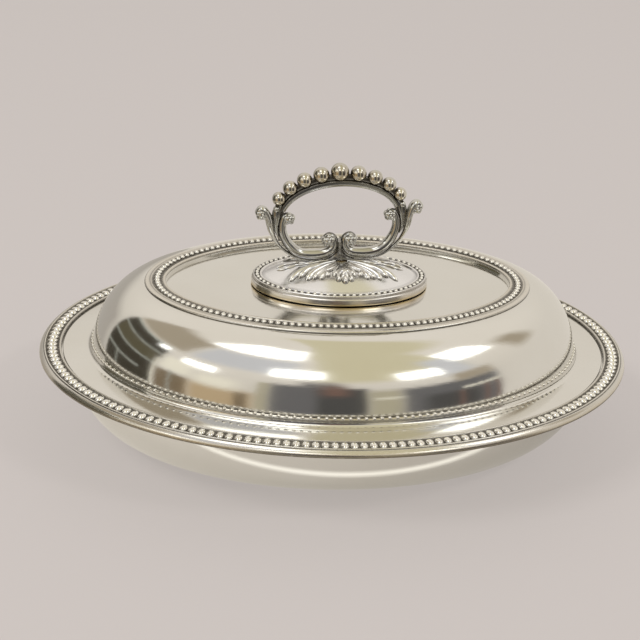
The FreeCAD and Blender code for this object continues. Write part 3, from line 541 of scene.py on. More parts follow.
dome_foot = dome(0, 0)[-1, 0]
COVE_EDGE = dome_foot + 2.0
foot_outside = softened(
    [
        (dome_foot, DOME_FOOT_Z, 0), (dome_foot + 0.08, ledge_z + WIRE_SEAT, 0.1),
        (dome_foot + 0.85, ledge_z + WIRE_SEAT, 0.15), (dome_foot + 0.95, ledge_z + 2.8, 0.6),
        (dome_foot + 1.5, ledge_z + 1.5, 0.7), (COVE_EDGE + 0.6, ledge_z + COVER_SHEET, 0.9),
        (flange_edge, ledge_z + COVER_SHEET, 0.4), (flange_edge, ledge_z, 0.3),
        (COVE_EDGE - COVER_SHEET, ledge_z, 0.8), (dome_foot - 0.6, ledge_z + 1.5, 0.8),
        (dome_foot - COVER_SHEET, DOME_FOOT_Z - COVER_SHEET, 0),
    ]
)
panel_edge = TOP_BORDER_INNER - 0.1
panel_z = seat_z - PANEL_DROP
under_seat = seat_z - COVER_SHEET
seat_corners = [(panel_edge, panel_z, 0), (panel_edge, seat_z, 0.2), (SHOULDER_EDGE, seat_z, 0)]
seat_outside = softened(seat_corners)
seat_inside = softened(
    [
        (SHOULDER_EDGE - COVER_SHEET, under_seat, 0), (panel_edge + COVER_SHEET, under_seat, 0.6),
        (panel_edge, panel_z - COVER_SHEET, 0),
    ]
)
outer = [seat_outside[:-1, :2], dome(0, 0)[:-1], foot_outside[:, :2]]
inner = [dome(COVER_SHEET, COVER_SHEET)[-2::-1], seat_inside[1:, :2]]
cover_section = np.vstack(outer + inner)
cover_grid = with_discs(round_oval(cover_section, DISH_BASE), 9)
cover = grid_shell(cover_grid, tarnish_and_shade=0.03)
make_piece("cover_spun", cover, "cover", ["cover_shell"], "spun_silver")

# %% [markdown]
# The wire hides the crease where the dome meets the cove. It is drawn through a die as a
# narrow flat strip and knurled with beads no bigger than a pin's head, so one thin moulding
# with the smallest of the bead rows on it is enough.

# %% The fine beaded wire at the dome's foot
WIRE_Z = ledge_z + WIRE_SEAT
WIRE_CORNERS = [
    (-0.3, 0, 0.05, 0.2, 0), (0.8, 0, 0.05, 0.3, 0.2),
    (0.75, 0.35, 0.2, 0.1, 0.2), (-0.2, 0.6, 0.2, 0.15, 0.1),
]
wire = moulding(WIRE_CORNERS, dome_foot, WIRE_Z, steps=3)
beads = bead_row(DISH_BASE, dome_foot + 0.42, 3.55, WIRE_Z + 0.3, (0.6, 0.95, 0.9), grime=0.25)
wire = joined([wire, beads])
nodes = ["cover_foot_wire"]
make_piece("cover_foot_beading", wire, "cover", nodes, "moulded_silver", "bead_silver")

# %% [markdown]
# The top border is struck from strip like the dish's, in a smaller pattern: a lip, a channel
# with its beads, a ridge and a narrow outer step. It covers the edge where the panel is drawn
# down, and it is soldered to the seat; a dark line of painted shadow runs round its foot.

# %% The top border and its beads
TOP_CORNERS = [
    (0.1, 0, 0.05, 0.6, 0), (0, 1, 0.4, 0.2, 0.1), (1.1, 1.3, 0.4, 0, 0.2),
    (1.75, 0.7, 0.25, 0.8, 0), (3.9, 0.68, 0.3, 1, 0), (6.3, 0.7, 0.25, 0.8, 0),
    (7, 1.25, 0.3, 0, 0.2), (7.6, 0.95, 0.2, 0.6, 0), (8.1, 1, 0.3, 0.1, 0.1),
    # The outer foot's full darkness is painted shadow under the border.
    (9.6, 1, 0.4, 0, 0.1), (10.05, 0.55, 0.25, 0.3, 0), (10.2, 0, 0.05, 1, 0),
]
border = moulding(TOP_CORNERS, TOP_BORDER_INNER, seat_z)
make_piece("cover_top_border_struck", border, "cover", ["cover_top_border"], "moulded_silver")
beads = bead_row(DISH_BASE, TOP_BORDER_INNER + 4.08, 3.2, seat_z + 0.6, (1.6, 1.38, 1.45))
make_piece("cover_top_beads", beads, "cover", ["cover_bead_row"], "bead_silver")

# %% [markdown]
# ## The handle's plaque
# The loop stands on an oval plaque with a crowned field. Its surface is one closed sheet:
# the crown's height falls off as the distance from the middle to the power 2.08, then come
# the rim's mouldings, and underneath the plaque is hollow.

# %% The plaque
PLAQUE_BASE = (plaque_edge, plaque_side)
RIM_WIDTH = 5.5
field_edge = plaque_edge - RIM_WIDTH
FIELD_RISE = 4.08
field_z = plaque_z + FIELD_RISE
CROWN_POWER = 2.08
crown_height = crown_z - field_z
RIM_CORNERS = [
    (0, 4.08, 0.2, 0.3, 0), (0.5, 4.85, 0.35, 0, 0.1), (1.2, 4.9, 0.2, 0, 0.1),
    (1.6, 4.2, 0.15, 1, 0), (2.6, 4.15, 0.2, 1, 0), (3.75, 4.2, 0.15, 0.9, 0),
    (4.1, 4.95, 0.3, 0, 0.1), (4.75, 4.4, 0.25, 0.3, 0.2), (4.65, 3.3, 0.3, 0.5, 0.3),
    (5.3, 2.8, 0.3, 0, 0.2), (5.35, 1.4, 0.3, 0.1, 0.5), (5.5, 0.3, 0.3, 0, 1),
    (5.3, 0, 0.1, 0, 1), (4.5, 0, 0.1, 0.1, 1), (4.4, 3, 0.4, 0.5, 0.5),
    (0, 3, 0.1, 0.6, 0),
]
rim_section = softened(RIM_CORNERS) + np.array([field_edge, plaque_z, 0, 0, 0])
rim_grid = round_oval(rim_section, PLAQUE_BASE, 320)
CROWN_SHARES = np.linspace(0, 1, 22, endpoint=False)


def crown_at(x, y):
    """The crown's height over a place on the plaque."""
    out = np.hypot(x / field_edge, y / (plaque_side - RIM_WIDTH))
    return field_z + crown_height * (1 - np.clip(out, 0, 1) ** CROWN_POWER)


crown_rise = field_z + crown_height * (1 - CROWN_SHARES**CROWN_POWER)
crown_rows = disc_rows(rim_grid[0], CROWN_SHARES, crown_rise)
ceiling_rows = disc_rows(rim_grid[-1], [0.6, 0.0])
plaque_dirt = np.concatenate([0.25 * (1 - CROWN_SHARES) ** 2, rim_section[:, 3], [0.8, 0.8]])
plaque_wear = np.concatenate([0 * CROWN_SHARES, rim_section[:, 4], [0, 0]])
plaque_grid = np.concatenate([crown_rows, rim_grid, ceiling_rows])
plaque = grid_shell(plaque_grid, tarnish_and_shade=plaque_dirt, wear_and_reflection=plaque_wear)
nodes = ["handle_plaque"]
make_piece("handle_plaque_struck", plaque, "handle", nodes, "moulded_silver", "plaque_silver")
beads = bead_row(PLAQUE_BASE, field_edge + 2.68, 3.1, plaque_z + 4.1, (1.05, 1.12, 1.3))
make_piece("plaque_beads", beads, "handle", ["plaque_bead_row"], "bead_silver")

# %% [markdown]
# ## Acanthus leaves
# An acanthus leaf in silver is chased as a fan of fingers: each is a rounded ridge that
# starts thin at the root, swells, and ends in a blunt bright tip, with a dark groove between
# it and the next. One ridge along each finger's own curve, all on the crowned field, gives
# the fan its scalloped outline.

# %% Leaves on the plaque
LEAF_ROWS = 40
LEAF_COLUMNS = 14
SUNK = 0.35


def smooth_path(points, steps=12):
    """A curve through points: between the two middle ones of each four it follows the
    Catmull-Rom cubic of their places."""
    points = np.array(points, float)
    padded = np.vstack([2 * points[0] - points[1], points, 2 * points[-1] - points[-2]])
    a, b, c, d = padded[:-3], padded[1:-2], padded[2:-1], padded[3:]
    t = np.linspace(0, 1, steps, endpoint=False)[:, None, None]
    bend, twist = 2 * a - 5 * b + 4 * c - d, 3 * b - a - 3 * c + d
    curve = 0.5 * (2 * b + (c - a) * t + bend * t**2 + twist * t**3)
    return np.vstack([curve.transpose(1, 0, 2).reshape(-1, points.shape[1]), points[-1:]])


def resampled(path, count):
    """A path's points at even steps along its length."""
    lengths = np.concatenate([[0], np.cumsum(np.linalg.norm(np.diff(path[:, :2], axis=0), axis=1))])
    even = np.linspace(0, lengths[-1], count)
    return np.column_stack([np.interp(even, lengths, column) for column in path.T])


def finger(spine, half_width, rise, tip=0.22):
    """A ridge on the crown: height is 1 - |w|^2.2 across it and grows with s^0.6 along it,
    width grows with s^0.8 and closes over the last part, the tip, as a quarter of a circle."""
    path = resampled(smooth_path(spine), LEAF_ROWS)
    along = unit(np.gradient(path, axis=0))
    across = np.column_stack([-along[:, 1], along[:, 0]])
    s = np.linspace(0, 1, LEAF_ROWS)
    w = np.sin(np.linspace(-np.pi / 2, np.pi / 2, LEAF_COLUMNS))
    closing = np.sqrt(np.clip(1 - (np.clip(s - 1 + tip, 0, None) / tip) ** 2, 0, 1))
    width = half_width * (0.3 + 0.8 * s**0.8) * closing
    x = path[:, :1] + across[:, :1] * width[:, None] * w
    y = path[:, 1:] + across[:, 1:] * width[:, None] * w
    swell = (rise * (0.35 + 0.65 * s**0.6) * closing**0.7)[:, None]
    ridge = 1 - np.abs(w) ** 2.2
    bed = crown_at(x, y) - SUNK
    top, under = xyz(x, y, bed + (swell + SUNK) * ridge), xyz(x, y, bed)
    grid = np.concatenate([top, under[:, ::-1]], axis=1)
    rows = np.concatenate([grid[:1], grid])
    rows[0] = rows[0].mean(axis=0)
    dirt_top = np.clip(1.15 - 1.7 * ridge, 0, 1) + 0.15 * (1 - s[:, None])
    tarnish_and_shade = np.clip(np.concatenate([dirt_top, np.ones_like(dirt_top)], axis=1), 0, 1)
    return grid_shell(rows, tarnish_and_shade=np.vstack([tarnish_and_shade[:1], tarnish_and_shade]))


def mirrored(shell, x_sign, y_sign):
    """A shell mirrored across the X or Y middle."""
    points, faces, tarnish_and_shade, wear_and_reflection = shell
    return points * np.array([x_sign, y_sign, 1]), faces, tarnish_and_shade, wear_and_reflection


BUD_CENTRE = (0.0, -13.6)


def petalled_bud(half_sizes, flutes):
    """A half ball, squeezed, whose outline goes in and out once for each flute."""
    u = full_turn(60)
    v = np.radians(np.linspace(-10, 90, 10))[:, None]
    flute = 1 + 0.14 * np.cos(flutes * u) * np.cos(v)
    x = BUD_CENTRE[0] + half_sizes[0] * np.cos(v) * np.cos(u) * flute
    y = BUD_CENTRE[1] + half_sizes[1] * np.cos(v) * np.sin(u) * flute
    z = crown_at(x, y) + half_sizes[2] * np.sin(v) * flute
    tarnish_and_shade = np.clip(0.9 - 1.2 * np.sin(v) - 0.5 * np.cos(flutes * u), 0, 1)
    return grid_shell(xyz(x, y, z), tarnish_and_shade=tarnish_and_shade)


FINGERS = [
    ([(3, -2), (9, -3.9), (16.5, -6), (22.6, -9), (26.6, -12.9)], 2.2, 1.9),
    ([(3.2, -3), (10, -5.4), (16.6, -8), (22, -12.2)], 2, 2.3),
    ([(3, -3.6), (8.5, -6.6), (14.2, -10), (18.6, -14.6)], 2.3, 2),
    ([(2.8, -4.2), (7.4, -7.8), (11.4, -11.2), (15.4, -14.8)], 1.7, 2.2),
    ([(2.6, -4.6), (6.4, -8), (9.6, -11.6), (12, -15.6)], 2, 2),
    ([(2, -4.4), (3.6, -7.6), (6, -9.6), (8.6, -11), (8.2, -13.2), (6.4, -12.8)], 1.5, 1.9),
    ([(1.2, -4.4), (2.6, -8), (4.2, -10.6), (5.2, -14.6)], 1.3, 1.6),
    ([(3, -1), (10, -1.4), (16, -2.6), (22, -1.6), (27, -2.4), (31.3, -1.2)], 0.7, 1),
    ([(14.5, -1.6), (18, -0.6), (20.4, -0.5)], 0.6, 0.9),
]
PETALS = [
    ([(0, -7), (0, -11), (0, -14.4), (0, -18.8)], 1.9, 2.5),
    ([(0.4, -10), (1.9, -12.4), (2.9, -14.8), (3.2, -17.6)], 1.6, 2.1),
    ([(0.6, -9.6), (2.6, -11.2), (4.6, -13.4)], 1.4, 1.8),
]
half_spray = [finger(*shape) for shape in FINGERS + PETALS[1:]]
front_spray = joined(
    half_spray
    + [mirrored(shell, -1, 1) for shell in half_spray]
    + [finger(*PETALS[0]), petalled_bud((2.9, 3.2, 2.9), 6)]
)
for side, y_sign in (("front", 1), ("back", -1)):
    spray, nodes = mirrored(front_spray, 1, y_sign), ["acanthus_spray_" + side]
    make_piece("acanthus_leaves_" + side, spray, "handle", nodes, "cast_silver", "leaf_silver")

# %% [markdown]
# ## The loop handle
# Two cast scrolls rise from a thin neck and fork, and a beaded arch drops its leaf ends into
# the forks. On the real casting each arm is a thick round stem with a narrow strap along its
# outer edge, and the strap leaves it to become the outer branch. Both are tubes whose radius
# changes along a spine, which leaves the dark groove between them where they meet. The real
# loop leans a little in its own plane, so every part of it is tipped about the neck's foot.

# %% Scrolls
HALF_SPAN = 37.0
RISE = 44.6
scroll_z = crown_z + 0.6
ARM_RADIUS = 2.2
TUBE_COLUMNS = 28
GROOVE_ANGLE = math.radians(52)
GROOVE_WIDTH = math.radians(13)
GROOVE_DIRT = 0.9
LEAN = math.radians(-2.6)
OFF_MIDDLE = -0.8


def leaning(shell):
    """A part of the loop tipped about the Y axis through the neck's foot, which itself is
    soldered a little off the middle."""
    points, faces, tarnish_and_shade, wear_and_reflection = shell
    above = points[:, 2] - crown_z
    x = OFF_MIDDLE + points[:, 0] * math.cos(LEAN) + above * math.sin(LEAN)
    z = crown_z + above * math.cos(LEAN) - points[:, 0] * math.sin(LEAN)
    return np.column_stack([x, points[:, 1], z]), faces, tarnish_and_shade, wear_and_reflection


def handle_place(across, up):
    """A place in the handle's plane from its shares of the half span and the rise."""
    return np.column_stack([HALF_SPAN * np.asarray(across), scroll_z + RISE * np.asarray(up)])


def tube(spine, groove=0.0, depth=1.0, edge_shade=0.0, grime=0.0):
    """A tube in the XZ plane round a spine of (across share, up share, thickness share):
    centre + r (cos f N + sin f Y), with r less in a groove at each side of its outer edge.
    Edge shade is painted shade along the outer side, grime everywhere."""
    shares = smooth_path(spine, steps=10)
    centre = handle_place(shares[:, 0], shares[:, 1])
    along = unit(np.gradient(centre, axis=0))
    outward = np.column_stack([along[:, 1], -along[:, 0]])
    f = full_turn(TUBE_COLUMNS)
    off_edge = np.abs(np.abs((f + np.pi) % (2 * np.pi) - np.pi) - GROOVE_ANGLE)
    in_groove = np.exp(-((off_edge / GROOVE_WIDTH) ** 2)) * (groove > 0)
    r = ARM_RADIUS * shares[:, 2:3] * (1 - groove * in_groove)
    x = centre[:, :1] + outward[:, :1] * r * np.cos(f)
    z = centre[:, 1:] + outward[:, 1:] * r * np.cos(f)
    y = r * np.sin(f) * depth
    tarnish_and_shade = GROOVE_DIRT * in_groove + edge_shade * np.clip(np.cos(f), 0, 1) ** 2 + grime
    return capped_shell(xyz(x, y, z), np.clip(tarnish_and_shade, 0, 1))


def ball(centre, half_sizes, columns=36, rows=19):
    """A ball whose poles face front and back: (sin v cos u, cos v, sin v sin u)."""
    u = full_turn(columns)
    v = np.linspace(0, np.pi, rows)[:, None]
    x = centre[0] + half_sizes[0] * np.sin(v) * np.cos(u)
    y = half_sizes[1] * np.cos(v)
    z = centre[1] + half_sizes[2] * np.sin(v) * np.sin(u)
    return grid_shell(xyz(x, y, z))


LOBES = 5
LOBE_TURN = 0.3
LOBE_SEAT = 0.52
LOBE_BALL = (0.47, 0.74, 0.47)
KNOB_BALLS = [(0.84, 0.84, 0.84), (0.40, 1.06, 0.40)]


def knob(centre, radius):
    """The knob inside a curl: a ball, a narrower one that stands out in front and behind,
    and a ring of small balls whose meeting lines are dark."""
    ring = LOBE_TURN + full_turn(LOBES)
    seats = centre + LOBE_SEAT * radius * np.column_stack([np.cos(ring), np.sin(ring)])
    parts = [ball(centre, radius * np.array(shape)) for shape in KNOB_BALLS]
    parts += [ball(seat, radius * np.array(LOBE_BALL), columns=20, rows=13) for seat in seats]
    points, faces, _, wear_and_reflection = joined(parts)
    off = (points[:, [0, 2]] - centre) / radius
    angle = np.arctan2(off[:, 1], off[:, 0]) - LOBE_TURN
    outer = np.clip(3 * np.linalg.norm(off, axis=1) - 1.5, 0, 1)
    return points, faces, np.clip(-0.8 * np.cos(LOBES * angle) * outer, 0, 1), wear_and_reflection


STEM = [
    (0.195, 0.225, 0.50), (0.175, 0.262, 0.62), (0.130, 0.274, 0.74), (0.082, 0.248, 0.82),
    (0.066, 0.200, 0.86), (0.076, 0.150, 0.92), (0.116, 0.105, 0.98), (0.185, 0.074, 1.12),
    (0.275, 0.062, 1.18), (0.370, 0.061, 1.21), (0.460, 0.070, 1.19), (0.540, 0.094, 1.15),
    (0.610, 0.138, 1.11), (0.668, 0.195, 1.07), (0.714, 0.262, 1.02), (0.742, 0.335, 0.97),
    (0.749, 0.400, 0.92), (0.741, 0.460, 0.87), (0.710, 0.515, 0.80), (0.655, 0.530, 0.60),
]
STRAP = [
    (0.030, 0.170, 0.18), (0.045, 0.110, 0.24), (0.095, 0.055, 0.28), (0.180, 0.018, 0.30),
    (0.280, 0.002, 0.30), (0.370, -0.002, 0.31), (0.470, 0.006, 0.32), (0.560, 0.030, 0.32),
    (0.650, 0.075, 0.33), (0.730, 0.130, 0.34), (0.790, 0.185, 0.36), (0.835, 0.245, 0.43),
    (0.868, 0.300, 0.55), (0.893, 0.360, 0.70), (0.908, 0.420, 0.80), (0.920, 0.480, 0.86),
    (0.940, 0.540, 0.88), (0.975, 0.592, 0.84), (1.020, 0.612, 0.76), (1.055, 0.585, 0.66),
    (1.050, 0.548, 0.50),
]
KNOBS = [((0.142, 0.222), 3.75), ((1.008, 0.562), 3.6), ((0.660, 0.490), 3.2)]
NECK = [
    (0.0, 0.200, 0.50), (0.030, 0.120, 0.45), (0.070, 0.062, 0.60), (0.120, 0.034, 1.0),
    (0.215, 0.034, 1.0),
]
NECK_DIRT = 0.55


def neck_half(count=17):
    """Half of the thin neck: at each height a half oval whose width flares to the foot,
    closed by a flat in the middle."""
    levels = smooth_path(NECK, steps=6)
    f = np.linspace(-np.pi / 2, np.pi / 2, count)
    x = HALF_SPAN * levels[:, 1:2] * np.cos(f)
    y = ARM_RADIUS * (0.4 + levels[:, 2:3]) * np.sin(f)
    z = scroll_z + RISE * levels[:, :1]
    z[0] -= SUNK
    return capped_shell(xyz(x, y, z), NECK_DIRT)


# The stem's outer side, where the strap runs along it, is darkened with painted shade.
scroll = [tube(STEM, edge_shade=0.9), tube(STRAP, depth=1.5), neck_half()]
scroll += [knob(handle_place(*seat)[0], radius) for seat, radius in KNOBS]
for side, x_sign in (("left", -1), ("right", 1)):
    arm = leaning(mirrored(joined(scroll), x_sign, 1))
    make_piece("scroll_" + side, arm, "handle", ["scroll_arm_" + side], "cast_silver")

# %% [markdown]
# ## The beaded arch
# The arch is a flat band bent to half an oval, wide at the top and slimmer at its ends, with
# nine balls seated along it, the largest in the middle. Their crowns are polished bright, and a
# painted warm reflection tints them a little yellow. A narrow collar between the balls, painted
# nearly black as the shade between them, makes them look like a string of beads. A thin lip
# along the band's inner edge stays bright, because fingers rub it.

# %% The arch and its balls
ARCH_SPAN = 0.770 * HALF_SPAN
ARCH_FOOT = 0.500 * RISE
ARCH_TOP = 0.880 * RISE
ARCH_THICK = 2.8
ARCH_WIDE = 4.6
ARCH_END_ANGLE = math.radians(14)
BALLS = [(1.0, 1.02), (0.817, 0.90), (0.639, 0.86), (0.461, 0.82), (0.278, 0.77)]
TOP_BALL = 4.3
BALL_SEAT = 0.86


def arch_line(angle):
    """The arch's middle line (h cos, v sin) and its outward direction (v cos, h sin)."""
    height = ARCH_TOP - ARCH_FOOT
    cos, sin = np.cos(angle), np.sin(angle)
    middle = xyz(ARCH_SPAN * cos, scroll_z + ARCH_FOOT + height * sin)
    outward = xyz(height * cos, ARCH_SPAN * sin)
    return middle, unit(outward)


def arch_band(thick, wide_by, raised, darkening, count=120, columns=32):
    """A band: a rounded-off rectangle |x|^4 + |y|^4 = 1 carried along the arch, raised from
    its middle line by a distance."""
    angle = np.linspace(ARCH_END_ANGLE, np.pi - ARCH_END_ANGLE, count)
    middle, outward = arch_line(angle)
    middle = middle + outward * raised
    f = full_turn(columns)
    squared = (np.cos(f) ** 4 + np.sin(f) ** 4) ** -0.25
    thin = (0.8 + 0.2 * np.sin(angle))[:, None]
    out = thick / 2 * thin * np.cos(f) * squared
    wide = wide_by / 2 * thin * np.sin(f) * squared
    x = middle[:, :1] + outward[:, :1] * out
    z = middle[:, 1:] + outward[:, 1:] * out
    return capped_shell(xyz(x, wide, z), np.clip(np.cos(f) + darkening, 0, 1))


def arch_ball(angle, radius):
    """A ball on the arch: painted shade darkens it where it nears its neighbours and the band, and
    a painted warm reflection tints it yellow, most towards the band.
    """
    middle, outward = arch_line(np.array(angle))
    centre = middle + outward * (ARCH_THICK / 2 + radius * BALL_SEAT)
    points, faces, _, _ = ball(centre, np.full(3, radius))
    off = (points[:, [0, 2]] - centre) / radius
    sideways = np.abs(off[:, 0] * outward[1] - off[:, 1] * outward[0])
    inward = -off @ outward
    # Painted shade: darker where the ball nears its neighbours and the band.
    tarnish_and_shade = np.clip((sideways - 0.80) * 5, 0, 1) + np.clip((inward - 0.72) * 5, 0, 1)
    # Painted warm reflection: a yellow tint, strongest towards the band.
    wear_and_reflection = np.clip(0.40 + 0.25 * inward, 0, 1)
    return points, faces, np.clip(tarnish_and_shade, 0, 1), wear_and_reflection


LEAF_END = [
    (0.755, 0.645, 0.72), (0.792, 0.590, 1.22), (0.806, 0.530, 1.30), (0.816, 0.470, 1.04),
    (0.824, 0.400, 0.72), (0.815, 0.330, 0.40), (0.795, 0.270, 0.12),
]
END_BALL = (0.818, 0.600)
END_BALL_SIZE = 0.42
SHADE_COLLAR = 3.0
LIP = 0.8
arch = [
    arch_band(ARCH_THICK, ARCH_WIDE, 0, 0.25),
    # The collar is painted nearly black: painted shade between the balls.
    arch_band(SHADE_COLLAR, ARCH_WIDE * 0.62, (ARCH_THICK + SHADE_COLLAR) / 2 - 0.3, 1.0),
    arch_band(LIP, ARCH_WIDE + LIP, (LIP - ARCH_THICK) / 2 - 0.1, -1.0),
]
for turn_share, size in BALLS:
    for angle in sorted({np.pi / 2 * turn_share, np.pi - np.pi / 2 * turn_share}):
        arch.append(arch_ball(angle, TOP_BALL * size))
leaf_end = tube(LEAF_END, groove=0.22, depth=0.62, grime=0.55)
small_ball = ball(handle_place(*END_BALL)[0], np.full(3, TOP_BALL * END_BALL_SIZE))
arch += [mirrored(part, x_sign, 1) for x_sign in (1, -1) for part in (leaf_end, small_ball)]
make_piece("handle_beaded_arch", leaning(joined(arch)), "handle", ["handle_arch"], "cast_silver")

# %% [markdown]
# ## The lock inside
# Under the panel sit a slotted brass plate and a cup that closes it, and the handle's stud
# passes through with its two lugs. They show only when the cover is off, so the CAD pieces
# stay and get their metals, all but the plated cup, which is turned smooth here.

# %% Brass, and the pieces of the lock
RING_STRENGTH = 0.3
DULL_SHARE = 0.45


def brass(name, colour, gloss):
    """Turned brass: a golden metal with fine rings from the lathe and dull patches."""
    material, tree, shader = new_metal(name)
    patches = noise(tree, 3.0)
    dull = tuple(channel * DULL_SHARE for channel in colour[:3]) + (1,)
    tone = mixed(tree, worked(tree, "MULTIPLY_ADD", patches, 1.6, -0.4), colour, dull)
    feed(tree, shader.inputs["Base Color"], tone)
    rough = worked(tree, "MULTIPLY_ADD", patches, 0.35, gloss)
    feed(tree, shader.inputs["Roughness"], rough)
    bumped(tree, shader, noise(tree, 0.4, stretch=(0.2, 0.2, 3), detail=1.0), RING_STRENGTH)
    return material


lock_brass = brass("lock_brass", (0.58, 0.43, 0.20, 1), 0.12)
spring_brass = brass("spring_brass", (0.66, 0.50, 0.24, 1), 0.2)
for node in ("slotted_plate", "locking_stud", "stud_nut", "spring_washer"):
    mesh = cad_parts[node].data
    mesh.materials.clear()
    mesh.materials.append(spring_brass if node == "spring_washer" else lock_brass)

cup_low, cup_high = lowest("socket_cup"), highest("socket_cup")
CUP_WALL = 0.8
cup_edge, cup_floor = cup_high[0], cup_low[2] + CUP_WALL
cup_section = softened(
    [
        (cup_edge * 0.5, cup_low[2], 0), (cup_edge, cup_low[2], 0.9), (cup_edge, cup_high[2], 0.1),
        (cup_edge - CUP_WALL, cup_high[2], 0.1), (cup_edge - CUP_WALL, cup_floor, 0.4),
        (cup_edge * 0.5, cup_floor, 0),
    ]
)
cup_walls = round_oval(cup_section, (cup_edge, cup_edge), 96)
cup = capped_shell(cup_walls, 0.2)
make_piece("socket_cup_turned", cup, "cover", ["socket_cup"], "spun_silver")

# %% [markdown]
# ## Floor, light and surroundings
# Silver has hardly any colour of its own: it shows the room. So the world holds a simple
# room, a table of plain patches placed by direction: a dark window at the left, pale walls,
# lamps, dark furniture in front. Only the metal sees it; the camera sees a plain pale tone.
# The floor fills its own shadow a little, to stay as pale as the background, and beyond a
# hand's breadth the metal looks through it at the room. In the metal's mirror the floor is
# painted lighter to the west and darker to the east, and one strip in front is painted as a
# pool of light, which draws the bright line along the bowl.

# %% Floor
PALE = (0.60, 0.55, 0.525, 1)
FLOOR_HALF = 6.0
floor_mesh = bpy.data.meshes.new("floor")
corner_signs = np.array([(-1, -1, 0), (1, -1, 0), (1, 1, 0), (-1, 1, 0)])
floor_mesh.from_pydata((FLOOR_HALF * corner_signs).tolist(), [], [(0, 1, 2, 3)])
floor = linked("floor", floor_mesh)
floor_paint = bpy.data.materials.new("floor_paint")
floor_paint.use_nodes = True
tree = floor_paint.node_tree
paint = tree.nodes["Principled BSDF"]
feed(tree, paint.inputs["Base Color"], PALE)
feed(tree, paint.inputs["Roughness"], 0.6)
floor_mesh.materials.append(floor_paint)
print("floor made, %.0f m wide" % (2 * FLOOR_HALF))

FILL_LIGHT = 0.6
NEAR_FLOOR = 0.20
NEAR_SOFT = 12.0
FLOOR_TONE = (0.62, 0.575, 0.55, 1)
WEST_FLOOR = (0.84, 0.79, 0.69, 1)
EAST_FLOOR = (0.50, 0.47, 0.42, 1)
LIT_FLOOR = (1.7, 1.65, 1.5, 1)
STREAK = (0.092, 0.103)
STREAK_SOFT = 200.0


def shader_mix(factor, first, second):
    """A shader between two others, as far as the factor says."""
    mix = new_node(tree, "MixShader", Fac=factor)
    feed(tree, mix.inputs[1], first)
    feed(tree, mix.inputs[2], second)
    return mix.outputs[0]


def beyond(first, second, softness):
    """How far one number is past another: 0 at first, and 1 after one over the softness."""
    return worked(tree, "MULTIPLY", worked(tree, "SUBTRACT", first, second), softness)


ray = new_node(tree, "LightPath").outputs
spot = new_node(tree, "TexCoord").outputs["Object"]
distance = new_node(tree, "VectorMath", Vector=spot)
distance.operation = "LENGTH"
x, y, z = new_node(tree, "SeparateXYZ", Vector=spot).outputs
eastward = worked(tree, "MULTIPLY_ADD", x, 4.0, 0.5)
frontward = worked(tree, "MULTIPLY", y, -1.0)
streak = worked(
    tree,
    "MULTIPLY",
    beyond(frontward, STREAK[0], STREAK_SOFT),
    beyond(STREAK[1], frontward, STREAK_SOFT),
)
# Painted light in reflections: the floor is brighter to the west, darker to the east, and a strip
# in front glows as a painted pool of light.
mirrored_tone = mixed(tree, eastward, WEST_FLOOR, EAST_FLOOR)
mirrored_tone = mixed(tree, streak, mirrored_tone, LIT_FLOOR)
tone = mixed(tree, ray["Is Glossy Ray"], FLOOR_TONE, mirrored_tone)
glow = new_node(tree, "Emission", Color=tone)
clear = new_node(tree, "BsdfTransparent")
seen_or_mirrored = worked(tree, "ADD", ray["Is Camera Ray"], ray["Is Glossy Ray"])
lit = worked(tree, "MULTIPLY", seen_or_mirrored, FILL_LIGHT)
far = beyond(distance.outputs["Value"], NEAR_FLOOR, NEAR_SOFT)
gone = worked(tree, "MULTIPLY", ray["Is Glossy Ray"], far)
surface = shader_mix(lit, paint.outputs[0], glow.outputs[0])
surface = shader_mix(gone, surface, clear.outputs[0])
feed(tree, tree.nodes["Material Output"].inputs["Surface"], surface)

# %% World
world = bpy.data.worlds.new("room")
bpy.context.scene.world = world
world.use_nodes = True
tree = world.node_tree
background = tree.nodes["Background"]
direction = new_node(tree, "TexCoord").outputs["Generated"]
east, north, height = new_node(tree, "SeparateXYZ", Vector=direction).outputs


def angle_step(operation, *values):
    """One step of arithmetic on angles, which isn't kept between 0 and 1."""
    socket = worked(tree, operation, *values)
    socket.node.use_clamp = False
    return socket


DEGREE = math.radians(1)
towards_front = angle_step("MULTIPLY", north, -1.0)
azimuth = angle_step("DIVIDE", angle_step("ARCTAN2", east, towards_front), DEGREE)
elevation = angle_step("DIVIDE", angle_step("ARCSINE", height), DEGREE)


def soft_step(value, low, high):
    """0 below a value and 1 above another, with a straight ramp between."""
    return new_node(tree, "MapRange", Value=value, From_Min=low, From_Max=high).outputs["Result"]


def between(value, low, high, soft):
    """1 between two values and 0 outside, with soft edges."""
    ends = [soft_step(value, end - soft, end + soft) for end in (low, high)]
    return worked(tree, "SUBTRACT", *ends)


def patch(west_edge, east_edge, low, high, soft):
    """1 inside a patch of the room and 0 outside, by degrees of azimuth (0 is the front, 90
    the right) and of elevation, with edges that fade over a few degrees."""
    sides = between(azimuth, west_edge, east_edge, soft)
    return worked(tree, "MULTIPLY", sides, between(elevation, low, high, soft))


WALL_TONE = (0.76, 0.71, 0.635, 1)
UPPER_WALL = (0.8512, 0.7952, 0.7112, 1)
DIM_WALL = (0.46, 0.425, 0.38, 1)
OLIVE = (0.68, 0.62, 0.43, 1)
COOL_GREY = (0.66, 0.66, 0.68, 1)
UMBER = (0.42, 0.36, 0.27, 1)
LAMP_WHITE = (2.6, 2.6, 2.5, 1)
NEAR_BLACK = (0.060, 0.052, 0.038, 1)
OLIVE_BLACK = (0.115, 0.100, 0.062, 1)
MULLION = (0.42, 0.43, 0.38, 1)
BROWN = (0.22, 0.165, 0.105, 1)
GOLDEN = (0.55, 0.42, 0.26, 1)
CREAM = (0.95, 0.90, 0.76, 1)
SLATE = (0.155, 0.150, 0.150, 1)
DEEP_SLATE = (0.085, 0.082, 0.078, 1)
RUST = (0.20, 0.125, 0.10, 1)
SAGE = (0.48, 0.44, 0.32, 1)
LOWEST = -34
